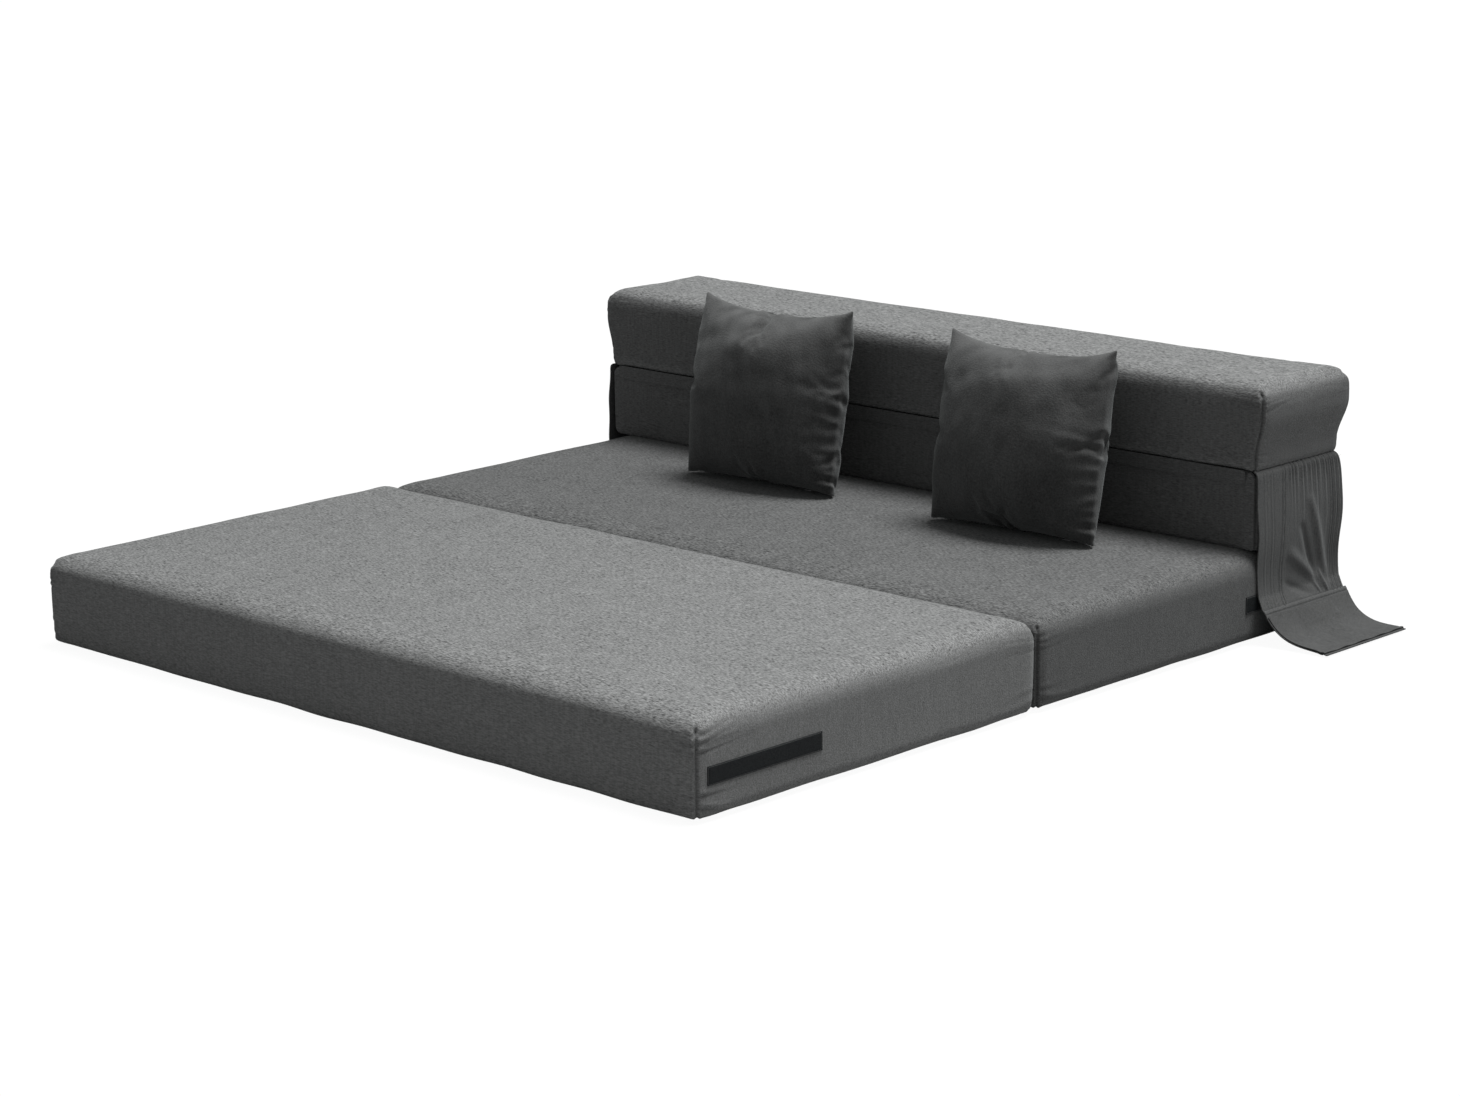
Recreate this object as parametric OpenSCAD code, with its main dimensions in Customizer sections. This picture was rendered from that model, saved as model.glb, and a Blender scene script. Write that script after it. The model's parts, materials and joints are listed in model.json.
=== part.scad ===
// Fold-out floor sofa. Two foam seat panels lie on the floor, and a backrest of two
// stacked foam blocks stands on the rear of the middle one. Cloth tapes hinge the four
// foam bodies to each other. A cloth flap with a cuff hangs at each end of the
// backrest, and two loose cushions stand in front of it.
// X is the width, the front faces -Y, and Z = 0 is the floor.

/* [Seat panels] */
// Width of the sofa from side face to side face
sofa_w = 1930; // [1500:10:2000]
// Depth of the front seat panel
front_depth = 963; // [850:1:1000]
// Depth of the middle seat panel, which runs on under the backrest
mid_depth = 1028; // [1000:1:1100]
// Height of the seat panels above the floor
panel_h = 194; // [160:1:240]
// Gap between the two seat panels
panel_gap = 4; // [3:1:10]

/* [Backrest] */
// Depth of the upper backrest block
back_depth = 306; // [260:1:340]
// Height of the lower backrest block
lower_h = 172; // [120:1:190]
// Height of the upper backrest block
upper_h = 188; // [150:1:240]
// How far the upper block stands out in front of the lower one
overhang = 4; // [3:1:10]

/* [Covers] */
// Thickness of a cover's cloth with its quilted wadding
cover_t = 3; // [2:0.5:5]
// Thickness of the non-slip cloth under a seat panel
base_t = 5; // [5:1:8]
// Clear strip between a seat panel's edge and its non-slip cloth
base_inset = 70; // [66:1:120]
// Radius of the seat panels' top edges
seat_top_r = 40; // [25:1:50]
// Radius of the seat panels' bottom edges
seat_bottom_r = 34; // [20:1:38]
// Radius of the upright corners of panels and blocks
corner_r = 22; // [15:1:30]

/* [Side flaps] */
// Width of a flap, along the backrest's depth
flap_w = 300; // [240:1:300]
// Height of the seam between a flap and its cuff
cuff_z = 72; // [60:1:90]
// How far a cuff reaches out along the floor from its seam
cuff_reach = 160; // [120:1:200]
// Thickness of the doubled flap cloth
flap_t = 3; // [2:0.5:4]

/* [Fastenings] */
// Length of a hook strip
strip_len = 305; // [200:5:320]
// Height of a hook or loop strip
strip_h = 36; // [20:1:50]
// Height of a hook strip's lower edge above the floor
strip_z = 71; // [60:1:100]
// Length left without a zip at each end of a cover
zip_margin = 150; // [100:10:300]

/* [Cushions] */
// Width of a cushion between its corners
cushion_w = 445; // [380:1:450]
// Height of a cushion between its corners
cushion_h = 425; // [380:1:440]
// Thickness of a cushion at its middle
cushion_t = 206; // [140:1:216]
// How far the cushions lean back, in degrees
cushion_lean = 10.5; // [5:0.5:12]

/* [Hidden] */

LEFT = -1;
RIGHT = 1;
arc_steps = 6;
foam_gap = 0.5;
stack_gap = 0.4;
lower_top_r = 12;
lower_bottom_r = 26;
upper_top_r = 40;
upper_bottom_r = 12;

tape_t = 1.2;
tape_w = 26;
web_t = 0.8;
chain_w = 6;
chain_t = 1.2;
slider_t = 1.5;
zip_lift = 0.1;
zip_proud = 4;

half_w = sofa_w / 2;
total_depth = front_depth + panel_gap + mid_depth + zip_proud;
front_y = -total_depth / 2;
fold_y = front_y + front_depth + panel_gap / 2;
mid_y = fold_y + panel_gap / 2;
rear_y = mid_y + mid_depth;
back_y = rear_y - back_depth;
lower_z = panel_h + stack_gap;
upper_z = lower_z + lower_h + stack_gap;

seat_r = [seat_top_r, seat_bottom_r, corner_r];
lower_r = [lower_top_r, lower_bottom_r, corner_r];
upper_r = [upper_top_r, upper_bottom_r, corner_r];
front_size = [sofa_w, front_depth, panel_h - base_t];
mid_size = [sofa_w, mid_depth, panel_h - base_t];
lower_size = [sofa_w, back_depth - overhang, lower_h];
upper_size = [sofa_w, back_depth, upper_h];
front_at = [0, front_y + front_depth / 2, base_t];
mid_at = [0, mid_y + mid_depth / 2, base_t];
lower_at = [0, rear_y - (back_depth - overhang) / 2, lower_z];
upper_at = [0, rear_y - back_depth / 2, upper_z];

zip_len = sofa_w - 2 * zip_margin;
slider_from_end = 30;
mid_zip_z = 105;
block_zip_rise = 45;

// A flap hangs from flap_top, a point of the XZ plane. Its cuff_seam strip starts at
// seam_start and the cuff at seam_end, and each of those three points is a hinge.
flap_steps = 8;
flap_bulge = 24;
seam_len = 14;
seam_angle = 32;
hinge_half_gap = 2.5;
flap_top = [half_w + 0.6 + flap_t / 2, upper_z + 4];
seam_start = [flap_top.x + flap_bulge, cuff_z];
seam_end = seam_start + seam_len * [sin(seam_angle), -cos(seam_angle)];
cuff_tip = [seam_start.x + cuff_reach, 5];
flap_y = rear_y - 4 - flap_w;

cushion_edge = 3;
cushion_z = panel_h + 5 + cushion_h / 2 * cos(cushion_lean);
cushion_y = front_y + 1533;
cushion_x = [-285, 461];
cushion_turn = 2;
case_t = 1.5;
cushion_zip_len = cushion_w - 80;

// ---- Shared shapes ----

// Points of an arc about c with radius r, from angle a0 to a1
function arc(c, r, a0, a1) = [
    for (i = [0:arc_steps])
        let (a = a0 + (a1 - a0) * i / arc_steps)
            c + r * [cos(a), sin(a)]
];

// Rectangle w wide, from y = 0 to h, with its top and bottom corners rounded
function rounded_outline(w, h, r_top, r_bottom) = concat(
    arc([w / 2 - r_bottom, r_bottom], r_bottom, -90, 0),
    arc([w / 2 - r_top, h - r_top], r_top, 0, 90),
    arc([r_top - w / 2, h - r_top], r_top, 90, 180),
    arc([r_bottom - w / 2, r_bottom], r_bottom, 180, 270)
);

// Boxed foam shape on z = 0, centred in X and Y. r = [top, bottom, upright corner].
module boxed_block(size, r) {
    intersection() {
        rotate([90, 0, 0])
            linear_extrude(size.y, center = true)
                polygon(rounded_outline(size.x, size.z, r[0], r[1]));
        rotate([90, 0, 90])
            linear_extrude(size.x, center = true)
                polygon(rounded_outline(size.y, size.z, r[0], r[1]));
        translate([0, -size.y / 2, 0])
            linear_extrude(size.z)
                polygon(rounded_outline(size.x, size.y, r[2], r[2]));
    }
}

module inset_block(size, r, t) {
    translate([0, 0, t])
        boxed_block(size - 2 * t * [1, 1, 1], r - t * [1, 1, 1]);
}

module cover(at, size, r) {
    color([0.36, 0.37, 0.37])
        translate(at)
            difference() {
                boxed_block(size, r);
                inset_block(size, r, cover_t);
            }
}

module foam_core(at, size, r) {
    color([0.93, 0.9, 0.8])
        translate(at)
            inset_block(size, r, cover_t + foam_gap);
}

module base_cloth(at, size) {
    color([0.16, 0.16, 0.17])
        translate([at.x, at.y, (base_t - zip_lift) / 2])
            cube([size.x - 2 * base_inset, size.y - 2 * base_inset, base_t - zip_lift],
                center = true);
}

// Zip chain along X on the surface z = 0, with its cloth web under the teeth
module zip_chain(length) {
    color([0.13, 0.13, 0.14])
        translate([0, 0, zip_lift]) {
            translate([-length / 2, -tape_w / 2, 0])
                cube([length, tape_w, web_t]);
            translate([8 - length / 2, -chain_w / 2, web_t])
                cube([length - 16, chain_w, chain_t]);
        }
}

// Slider with its pull, over a zip chain along X on the surface z = 0
module zip_slider() {
    color([0.55, 0.55, 0.57])
        translate([0, 0, zip_lift + web_t + chain_t + 0.2]) {
            linear_extrude(slider_t)
                polygon([[-6, -3.5], [4, -4.8], [7, -2], [7, 2], [4, 4.8], [-6, 3.5]]);
            difference() {
                translate([-31, -4, 0])
                    cube([26, 8, 1.1]);
                translate([-26, 0, -1])
                    cylinder(h = 4, d = 4, $fn = 24);
            }
        }
}

// Places its children on a rear face, with their +Z outwards
module on_rear(z) {
    translate([0, rear_y, z])
        rotate([-90, 0, 0])
            children();
}

module under_front() {
    translate([0, front_y + (seat_bottom_r + base_inset) / 2, base_t])
        rotate([180, 0, 0])
            children();
}

module hook_strip(side, y) {
    color([0.1, 0.11, 0.12])
        translate([side * (half_w + 0.1 + 1.2), y + strip_len / 2, strip_z + strip_h / 2])
            cube([2.4, strip_len, strip_h], center = true);
}

module hinge_tape(low, high) {
    color([0.2, 0.21, 0.21])
        translate(low)
            cube(high - low);
}

// ---- Side flaps, as outlines in the XZ plane of the right side ----

// Unit normal of the path p at its point i
function path_normal(p, i) =
    let (a = p[max(i - 1, 0)], b = p[min(i + 1, len(p) - 1)], d = (b - a) / norm(b - a))
        [-d.y, d.x];

// Outline of a strip along the path p, between the offsets low and high from it
function strip_outline(p, low, high) = concat(
    [for (i = [0:len(p) - 1]) p[i] + low * path_normal(p, i)],
    [for (i = [len(p) - 1:-1:0]) p[i] + high * path_normal(p, i)]
);

// The flap at a share s of the way from its top hinge to the cuff seam
function flap_point(s) = [
    flap_top.x + flap_bulge * pow(s, 1.5),
    flap_top.y + (seam_start.y - flap_top.y) * s
];

// The cuff at a share s of the way from its seam to its tip on the floor
function cuff_point(s) = [
    seam_end.x + (cuff_tip.x - seam_end.x) * s,
    cuff_tip.y + (seam_end.y - cuff_tip.y) * pow(1 - s, 2)
];

function flap_path(s0, s1) = [
    for (i = [0:flap_steps]) flap_point(s0 + (s1 - s0) * i / flap_steps)
];

function cuff_path(s0, s1) = [
    for (i = [0:flap_steps]) cuff_point(s0 + (s1 - s0) * i / flap_steps)
];

flap_gap_share = hinge_half_gap / (flap_top.y - seam_start.y);
cuff_gap_share = hinge_half_gap / (cuff_tip.x - seam_end.x) * 0.8;
seam_along = (seam_end - seam_start) / seam_len;

// A cloth strip of a side flap: an outline of the XZ plane, drawn out along the depth
module flap_cloth(side, outline, margin) {
    mirror([side == LEFT ? 1 : 0, 0, 0])
        translate([0, flap_y + flap_w - margin, 0])
            rotate([90, 0, 0])
                linear_extrude(flap_w - 2 * margin)
                    polygon(outline);
}

module flap(side) {
    color([0.4, 0.42, 0.42])
        flap_cloth(side, strip_outline(
            flap_path(flap_gap_share, 1 - flap_gap_share), -flap_t / 2, flap_t / 2), 0);
}

module cuff_seam(side) {
    strip = [
        seam_start + hinge_half_gap * seam_along,
        seam_end - hinge_half_gap * seam_along
    ];
    color([0.3, 0.31, 0.31])
        flap_cloth(side, strip_outline(strip, -flap_t / 2, flap_t / 2), 0);
}

module cuff(side) {
    color([0.44, 0.46, 0.46])
        flap_cloth(side, strip_outline(
            cuff_path(cuff_gap_share, 1), -flap_t / 2, flap_t / 2), 0);
}

// The loop patches lie on the cloth's inner side, which is the outline's negative side
module flap_loop_patch(side) {
    color([0.1, 0.11, 0.12])
        flap_cloth(side, strip_outline(
            flap_path(0.85, 0.97), -flap_t / 2 - 1.3, -flap_t / 2 - 0.1), 8);
}

module cuff_loop_patch(side) {
    color([0.1, 0.11, 0.12])
        flap_cloth(side, strip_outline(
            cuff_path(0.68, 0.9), -flap_t / 2 - 1.3, -flap_t / 2 - 0.1), 8);
}

// ---- Cushions ----

// Half of a cushion's thickness at a share s of the way from its middle to a seam
function cushion_half(s, t, edge) = edge + (t / 2 - edge) * pow(cos(90 * s), 0.75);

// Lens outline w wide and t thick, with its width along x
function lens_outline(w, t, edge) = let (n = 12) concat(
    [for (i = [-n:n]) [w / 2 * i / n, -cushion_half(abs(i) / n, t, edge)]],
    [for (i = [n:-1:-n]) [w / 2 * i / n, cushion_half(abs(i) / n, t, edge)]]
);

// Knife-edged cushion in its own frame: width along X, thickness along Y, height along Z
module lens_cushion(w, h, t, edge) {
    intersection() {
        linear_extrude(h, center = true)
            polygon(lens_outline(w, t, edge));
        rotate([90, 0, 90])
            linear_extrude(w, center = true)
                rotate(90)
                    polygon(lens_outline(h, t, edge));
    }
}

module place_cushion(side) {
    translate([cushion_x[side == LEFT ? 0 : 1], cushion_y, cushion_z])
        rotate([-cushion_lean, 0, cushion_turn])
            children();
}

module cushion_case(side) {
    color([0.25, 0.26, 0.26])
        place_cushion(side)
            difference() {
                lens_cushion(cushion_w, cushion_h, cushion_t, cushion_edge);
                lens_cushion(cushion_w - 2 * case_t, cushion_h - 2 * case_t,
                    cushion_t - 4 * case_t, cushion_edge - case_t);
            }
}

module cushion_insert(side) {
    wall = case_t + foam_gap;
    color([0.92, 0.92, 0.9])
        place_cushion(side)
            lens_cushion(cushion_w - 2 * wall, cushion_h - 2 * wall,
                cushion_t - 6 * case_t, cushion_edge - wall);
}

module under_cushion(side) {
    place_cushion(side)
        translate([0, 0, -cushion_h / 2])
            rotate([180, 0, 0])
                children();
}

// The cushion's zip is narrower than a cover's, because it fills the knife edge
module cushion_zip_chain(side) {
    color([0.13, 0.13, 0.14])
        under_cushion(side)
            translate([0, 0, zip_lift + 1])
                cube([cushion_zip_len, 2 * cushion_edge, 2], center = true);
}

module cushion_zip_slider(side) {
    color([0.55, 0.55, 0.57])
        under_cushion(side)
            translate([cushion_zip_len / 2 - slider_from_end, 0, 2.3 + slider_t / 2])
                cube([9, 2 * cushion_edge, slider_t], center = true);
}

// ---- The nodes ----

foam_core(front_at, front_size, seat_r);  // front_foam_core
cover(front_at, front_size, seat_r);  // front_cover
base_cloth(front_at, front_size);  // front_base_cloth
under_front() zip_chain(zip_len);  // front_zip_chain
under_front() translate([zip_len / 2 - slider_from_end, 0, 0]) zip_slider();  // front_zip_slider
hook_strip(LEFT, front_y + corner_r + 2);  // front_hook_strip_left
hook_strip(RIGHT, front_y + corner_r + 2);  // front_hook_strip_right

foam_core(mid_at, mid_size, seat_r);  // mid_foam_core
cover(mid_at, mid_size, seat_r);  // mid_cover
base_cloth(mid_at, mid_size);  // mid_base_cloth
on_rear(mid_zip_z) zip_chain(zip_len);  // mid_zip_chain
on_rear(mid_zip_z) translate([zip_len / 2 - slider_from_end, 0, 0]) zip_slider();  // mid_zip_slider
hook_strip(LEFT, rear_y - 33 - strip_len);  // mid_hook_strip_left
hook_strip(RIGHT, rear_y - 33 - strip_len);  // mid_hook_strip_right

foam_core(lower_at, lower_size, lower_r);  // lower_back_foam_core
cover(lower_at, lower_size, lower_r);  // lower_back_cover
on_rear(lower_z + lower_h - block_zip_rise) zip_chain(zip_len);  // lower_back_zip_chain
on_rear(lower_z + lower_h - block_zip_rise)  // lower_back_zip_slider
        translate([zip_len / 2 - slider_from_end, 0, 0]) zip_slider();

foam_core(upper_at, upper_size, upper_r);  // upper_back_foam_core
cover(upper_at, upper_size, upper_r);  // upper_back_cover
on_rear(upper_z + block_zip_rise) zip_chain(zip_len);  // upper_back_zip_chain
on_rear(upper_z + block_zip_rise)  // upper_back_zip_slider
        translate([zip_len / 2 - slider_from_end, 0, 0]) zip_slider();

hinge_tape([60 - half_w, fold_y - 60, base_t - 0.3 - tape_t],  // front_hinge_tape
        [half_w - 60, fold_y + 60, base_t - 0.3]);
hinge_tape([60 - half_w, rear_y + 0.3, panel_h - 60],  // rear_hinge_tape
        [half_w - 60, rear_y + 0.3 + tape_t, panel_h + 55]);
hinge_tape([30 - half_w, back_y + overhang - 0.3 - tape_t, upper_z - 28],  // backrest_hinge_tape
        [half_w - 30, back_y + overhang - 0.3, upper_z + 3]);

flap(LEFT);  // flap_left
flap(RIGHT);  // flap_right
flap_loop_patch(LEFT);  // flap_loop_patch_left
flap_loop_patch(RIGHT);  // flap_loop_patch_right
cuff_seam(LEFT);  // cuff_seam_left
cuff_seam(RIGHT);  // cuff_seam_right
cuff(LEFT);  // cuff_left
cuff(RIGHT);  // cuff_right
cuff_loop_patch(LEFT);  // cuff_loop_patch_left
cuff_loop_patch(RIGHT);  // cuff_loop_patch_right

cushion_case(LEFT);  // cushion_case_left
cushion_case(RIGHT);  // cushion_case_right
cushion_insert(LEFT);  // cushion_insert_left
cushion_insert(RIGHT);  // cushion_insert_right
cushion_zip_chain(LEFT);  // cushion_zip_chain_left
cushion_zip_chain(RIGHT);  // cushion_zip_chain_right
cushion_zip_slider(LEFT);  // cushion_zip_slider_left
cushion_zip_slider(RIGHT);  // cushion_zip_slider_right
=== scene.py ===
# %% [markdown]
# # A fold-out floor sofa, step by step
# The sofa is four soft foam blocks in cloth covers, held together by cloth tapes, with two
# cloth flaps and two loose cushions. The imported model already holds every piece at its
# right size, and its bodies move as the real sofa folds. This lesson builds the looks
# around that fixed frame: each soft piece is made anew in the place its solid holds.

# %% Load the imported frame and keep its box
import json
import math

import bmesh
import bpy
import numpy as np
from mathutils import Matrix, Vector
from mathutils.bvhtree import BVHTree


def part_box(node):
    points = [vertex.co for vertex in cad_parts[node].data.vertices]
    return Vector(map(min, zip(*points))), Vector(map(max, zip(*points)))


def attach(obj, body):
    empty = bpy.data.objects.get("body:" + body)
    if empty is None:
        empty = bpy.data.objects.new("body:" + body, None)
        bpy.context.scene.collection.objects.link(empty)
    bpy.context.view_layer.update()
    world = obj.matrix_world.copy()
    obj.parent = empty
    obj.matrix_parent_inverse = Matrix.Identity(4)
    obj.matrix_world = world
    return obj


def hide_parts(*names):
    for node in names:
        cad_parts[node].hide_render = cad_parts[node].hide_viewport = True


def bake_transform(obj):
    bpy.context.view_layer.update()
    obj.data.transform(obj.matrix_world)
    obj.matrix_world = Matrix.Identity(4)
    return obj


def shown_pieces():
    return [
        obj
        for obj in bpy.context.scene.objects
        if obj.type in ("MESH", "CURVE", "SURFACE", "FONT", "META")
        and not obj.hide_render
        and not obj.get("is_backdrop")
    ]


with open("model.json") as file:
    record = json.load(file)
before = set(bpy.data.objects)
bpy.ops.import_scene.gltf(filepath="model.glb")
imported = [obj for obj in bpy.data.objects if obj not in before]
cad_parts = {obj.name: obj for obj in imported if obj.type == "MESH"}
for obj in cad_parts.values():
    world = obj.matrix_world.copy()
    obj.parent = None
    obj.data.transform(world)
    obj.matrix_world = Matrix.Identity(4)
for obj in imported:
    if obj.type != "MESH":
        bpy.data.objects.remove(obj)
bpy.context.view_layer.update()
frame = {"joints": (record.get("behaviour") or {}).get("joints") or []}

# %% [markdown]
# ## Camera
# The camera stands off the front right corner of the sofa, a little above it and a long way
# away, with a long lens, so that the far edge of the seat is hardly smaller than the near
# one. Its turn is given by three angles, from which come its own right, up and back axes,
# the three columns of its rotation.

# %% Place the camera
CAMERA_AT = Vector((5.3874, -5.5111, 2.0234))
AZIMUTH, ELEVATION, ROLL = (math.radians(x) for x in (43.834, 13.440, -0.706))

forward = Vector((-math.sin(AZIMUTH) * math.cos(ELEVATION),
                  math.cos(AZIMUTH) * math.cos(ELEVATION),
                  -math.sin(ELEVATION))).normalized()
level_right = forward.cross(Vector((0, 0, 1))).normalized()
level_up = level_right.cross(forward)
cam_right = math.cos(ROLL) * level_right + math.sin(ROLL) * level_up
cam_up = -math.sin(ROLL) * level_right + math.cos(ROLL) * level_up
bpy.ops.object.camera_add(location=CAMERA_AT)
camera = bpy.context.object
camera.name = "sofa_camera"
camera.rotation_euler = Matrix((cam_right, cam_up, -forward)).transposed().to_euler()
camera.data.sensor_width = 36
camera.data.lens = 90.756
bpy.context.scene.camera = camera
print("camera looks along", tuple(round(x, 3) for x in forward))

# %% [markdown]
# ## Small helpers for meshes
# An operator works on whatever is selected, so every step starts from a known selection.
# `edit_on` opens one piece in edit mode, selects the faces, edges or points that a test
# accepts, and runs operators on them. The tests and operators that come back often have
# short names of their own. `points` and `set_points` read and write all the points at once,
# which is how the soft shapes are pushed about, like a sculpting brush.

# %% Selection and editing
def select_only(*pieces):
    if bpy.context.object and bpy.context.object.mode != "OBJECT":
        bpy.ops.object.mode_set(mode="OBJECT")
    bpy.ops.object.select_all(action="DESELECT")
    for piece in pieces:
        piece.select_set(True)
        bpy.context.view_layer.objects.active = piece


def edit_on(piece, kind, pick, *steps):
    select_only(piece)
    bpy.ops.object.mode_set(mode="EDIT")
    bpy.ops.mesh.select_mode(type=kind)
    bpy.ops.mesh.select_all(action="DESELECT")
    mesh = bmesh.from_edit_mesh(piece.data)
    items = {"FACE": mesh.faces, "EDGE": mesh.edges, "VERT": mesh.verts}[kind]
    chosen = [item for item in items if pick(item)]
    for item in chosen:
        item.select_set(True)
    mesh.select_flush_mode()
    bmesh.update_edit_mesh(piece.data)
    for step in steps:
        step()
    bpy.ops.object.mode_set(mode="OBJECT")
    return len(chosen)


def runs_along(axis):
    """A test for the edges that lie along an axis, which is 0, 1 or 2."""
    return lambda edge: abs((edge.verts[0].co - edge.verts[1].co).normalized()[axis]) > 0.9


def faces_along(axis, side=1):
    """A test for the faces that look along an axis, or against it for side -1."""
    return lambda face: face.normal[axis] * side > 0.9


def subdivide(cuts):
    return lambda: bpy.ops.mesh.subdivide(number_cuts=cuts, smoothness=0.0)


def inset(thickness, depth=0.0):
    return lambda: bpy.ops.mesh.inset(thickness=thickness, depth=depth)


def bevel(offset, segments):
    return lambda: bpy.ops.mesh.bevel(offset=offset, segments=segments, affect="EDGES")


def apply_modifier(piece, kind, **settings):
    select_only(piece)
    modifier = piece.modifiers.new(kind.title(), kind)
    for name, value in settings.items():
        setattr(modifier, name, value)
    bpy.ops.object.modifier_apply(modifier=modifier.name)


def smooth_all(piece):
    select_only(piece)
    bpy.ops.object.shade_smooth()


# %% Points of a mesh as arrays
def points(piece):
    flat = np.empty(len(piece.data.vertices) * 3, np.float32)
    piece.data.vertices.foreach_get("co", flat)
    return flat.reshape(-1, 3).astype(float)


def normals(piece):
    flat = np.empty(len(piece.data.vertices) * 3, np.float32)
    piece.data.vertex_normals.foreach_get("vector", flat)
    return flat.reshape(-1, 3).astype(float)


def set_points(piece, places):
    piece.data.vertices.foreach_set("co", places.astype(np.float32).ravel())
    piece.data.update()


def tris(piece):
    piece.data.calc_loop_triangles()
    return len(piece.data.loop_triangles)


# %% Primitives at their size and place
def named(name):
    piece = bpy.context.object
    piece.name = piece.data.name = name
    return piece


def settle(piece):
    """Writes the object's place, turn and size into its mesh, and leaves it at the origin."""
    select_only(piece)
    bpy.ops.object.transform_apply(location=True, rotation=True, scale=True)
    return piece


def box_between(name, low, high):
    low, high = Vector(low), Vector(high)
    select_only()
    bpy.ops.mesh.primitive_cube_add(size=1, location=(low + high) / 2)
    piece = named(name)
    piece.scale = high - low
    return settle(piece)


def copy_of(piece, name):
    """A copy with a mesh of its own."""
    twin = piece.copy()
    twin.data = piece.data.copy()
    twin.name = twin.data.name = name
    bpy.context.scene.collection.objects.link(twin)
    return twin


def join(name, pieces):
    select_only(*pieces)
    bpy.ops.object.join()
    return named(name)


def wave_noise(places, length, seed):
    """Smooth noise between about -1 and 1, as a sum of plane waves of about that length."""
    draw = np.random.default_rng(seed)
    total = np.zeros(len(places))
    for _ in range(14):
        way = draw.normal(size=3)
        way *= draw.uniform(0.6, 1.5) / np.linalg.norm(way)
        total += np.sin(places @ way * 2 * math.pi / length + draw.uniform(0, 2 * math.pi))
    return total / 4


def bump_at(distance, width):
    """A smooth hill over distance 0."""
    return np.exp(-(distance / width) ** 2)


# %% [markdown]
# ## Shader maths as Python expressions
# A shader is a sum in disguise: streaks times one number plus fibres times another. The
# class below wraps a socket, so that `0.6 + 0.4 * streaks` adds the Math nodes itself.
# `Finish.node` makes any other node from its type, its settings and its sockets.

# %% The shader helper
class Signal:
    """One output socket of a node tree, with arithmetic."""

    def __init__(self, finish, socket):
        self.finish, self.socket = finish, socket

    def math(self, operation, first, second=0.0):
        return self.finish.node("ShaderNodeMath", {"operation": operation},
                                {0: first, 1: second})

    def __add__(self, other):
        return self.math("ADD", self, other)

    def __sub__(self, other):
        return self.math("SUBTRACT", self, other)

    def __rsub__(self, other):
        return self.math("SUBTRACT", other, self)

    def __mul__(self, other):
        return self.math("MULTIPLY", self, other)

    __radd__ = __add__
    __rmul__ = __mul__


class Finish:
    """One material. Its shader's constant values are set straight on the sockets."""

    def __init__(self, name, **constants):
        self.material = bpy.data.materials.new(name)
        self.material.use_nodes = True
        self.tree = self.material.node_tree
        self.shader = self.tree.nodes["Principled BSDF"]
        for socket, value in constants.items():
            self.shader.inputs[socket.replace("_", " ")].default_value = value

    def node(self, kind, settings=(), inputs=(), output=0):
        made = self.tree.nodes.new(kind)
        for name, value in dict(settings).items():
            setattr(made, name, value)
        for name, value in dict(inputs).items():
            if isinstance(value, Signal):
                self.tree.links.new(value.socket, made.inputs[name])
            else:
                made.inputs[name].default_value = value
        return Signal(self, made.outputs[output])

    def place(self):
        """Object coordinates, in metres."""
        return self.node("ShaderNodeTexCoord", output="Object")

    def axes(self, vector):
        split = self.node("ShaderNodeSeparateXYZ", inputs={0: vector}).socket.node
        return [Signal(self, socket) for socket in split.outputs]

    def stored(self, name):
        """A number stored on the mesh."""
        return self.node("ShaderNodeAttribute", {"attribute_name": name}, output="Fac")

    def noise(self, where, per_metre, detail=2.0, rough=0.5):
        """Noise from 0 to 1 with its features 1/per_metre apart, along X, Y and Z."""
        if not isinstance(per_metre, (int, float)):
            where = self.node("ShaderNodeMapping", {"vector_type": "POINT"},
                              {"Vector": where, "Scale": per_metre})
            per_metre = 1.0
        return self.node("ShaderNodeTexNoise", {"noise_dimensions": "3D"},
                         {"Vector": where, "Scale": per_metre, "Detail": detail,
                          "Roughness": rough})

    def stretch(self, value, low, high):
        """value between low and high, spread out to 0 to 1."""
        return self.node("ShaderNodeMapRange", {"clamp": True, "interpolation_type": "LINEAR"},
                         {"Value": value, "From Min": low, "From Max": high})

    def mix(self, share, colour_a, colour_b):
        """From one colour to another, each as red, green and blue."""
        return self.node("ShaderNodeMix", {"data_type": "RGBA"},
                         {0: share, 6: (*colour_a, 1), 7: (*colour_b, 1)}, output=2)

    def grey(self, value, tint):
        """A colour tint times value, through Vector Math, because a Math node has no colour."""
        return self.node("ShaderNodeVectorMath", {"operation": "SCALE"},
                         {0: tint, "Scale": value})

    def feed(self, **values):
        for socket, value in values.items():
            self.tree.links.new(value.socket, self.shader.inputs[socket.replace("_", " ")])

    def bump(self, height, depth, strength=1.0):
        """height from 0 to 1 as a relief depth metres deep."""
        self.feed(Normal=self.node("ShaderNodeBump", inputs={
            "Height": height, "Distance": depth, "Strength": strength}))


def dress(piece, *finishes):
    piece.data.materials.clear()
    for finish in finishes:
        piece.data.materials.append(finish.material)
    return piece

# %% [markdown]
# ## The charcoal cloth
# The cover cloth is a short-piled chenille that looks like coarse linen: thick-and-thin
# yarns lie across the width of the sofa, with finer threads between them. Streaks that are
# long in X and thin in the other two directions give yarns on the tops and fronts and a
# speckle on the end faces, and they run on round every soft edge because they need no
# unwrapping. Thick and sunken spots break the yarns up, upright streaks show only on the
# sides, and the yarns and loose fibres go into the relief. Light and shade are painted into
# the colour as well: the level faces are painted lighter, partly for the way the pile lies
# and partly as painted top light, some covers are painted lighter towards the right as a
# painted light gradient, and each mesh stores how level its faces are and how much painted
# shade lies in its seams and creases.

# %% Cloth finish
YARN_TINT = (0.985, 1.0, 0.995)


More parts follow.
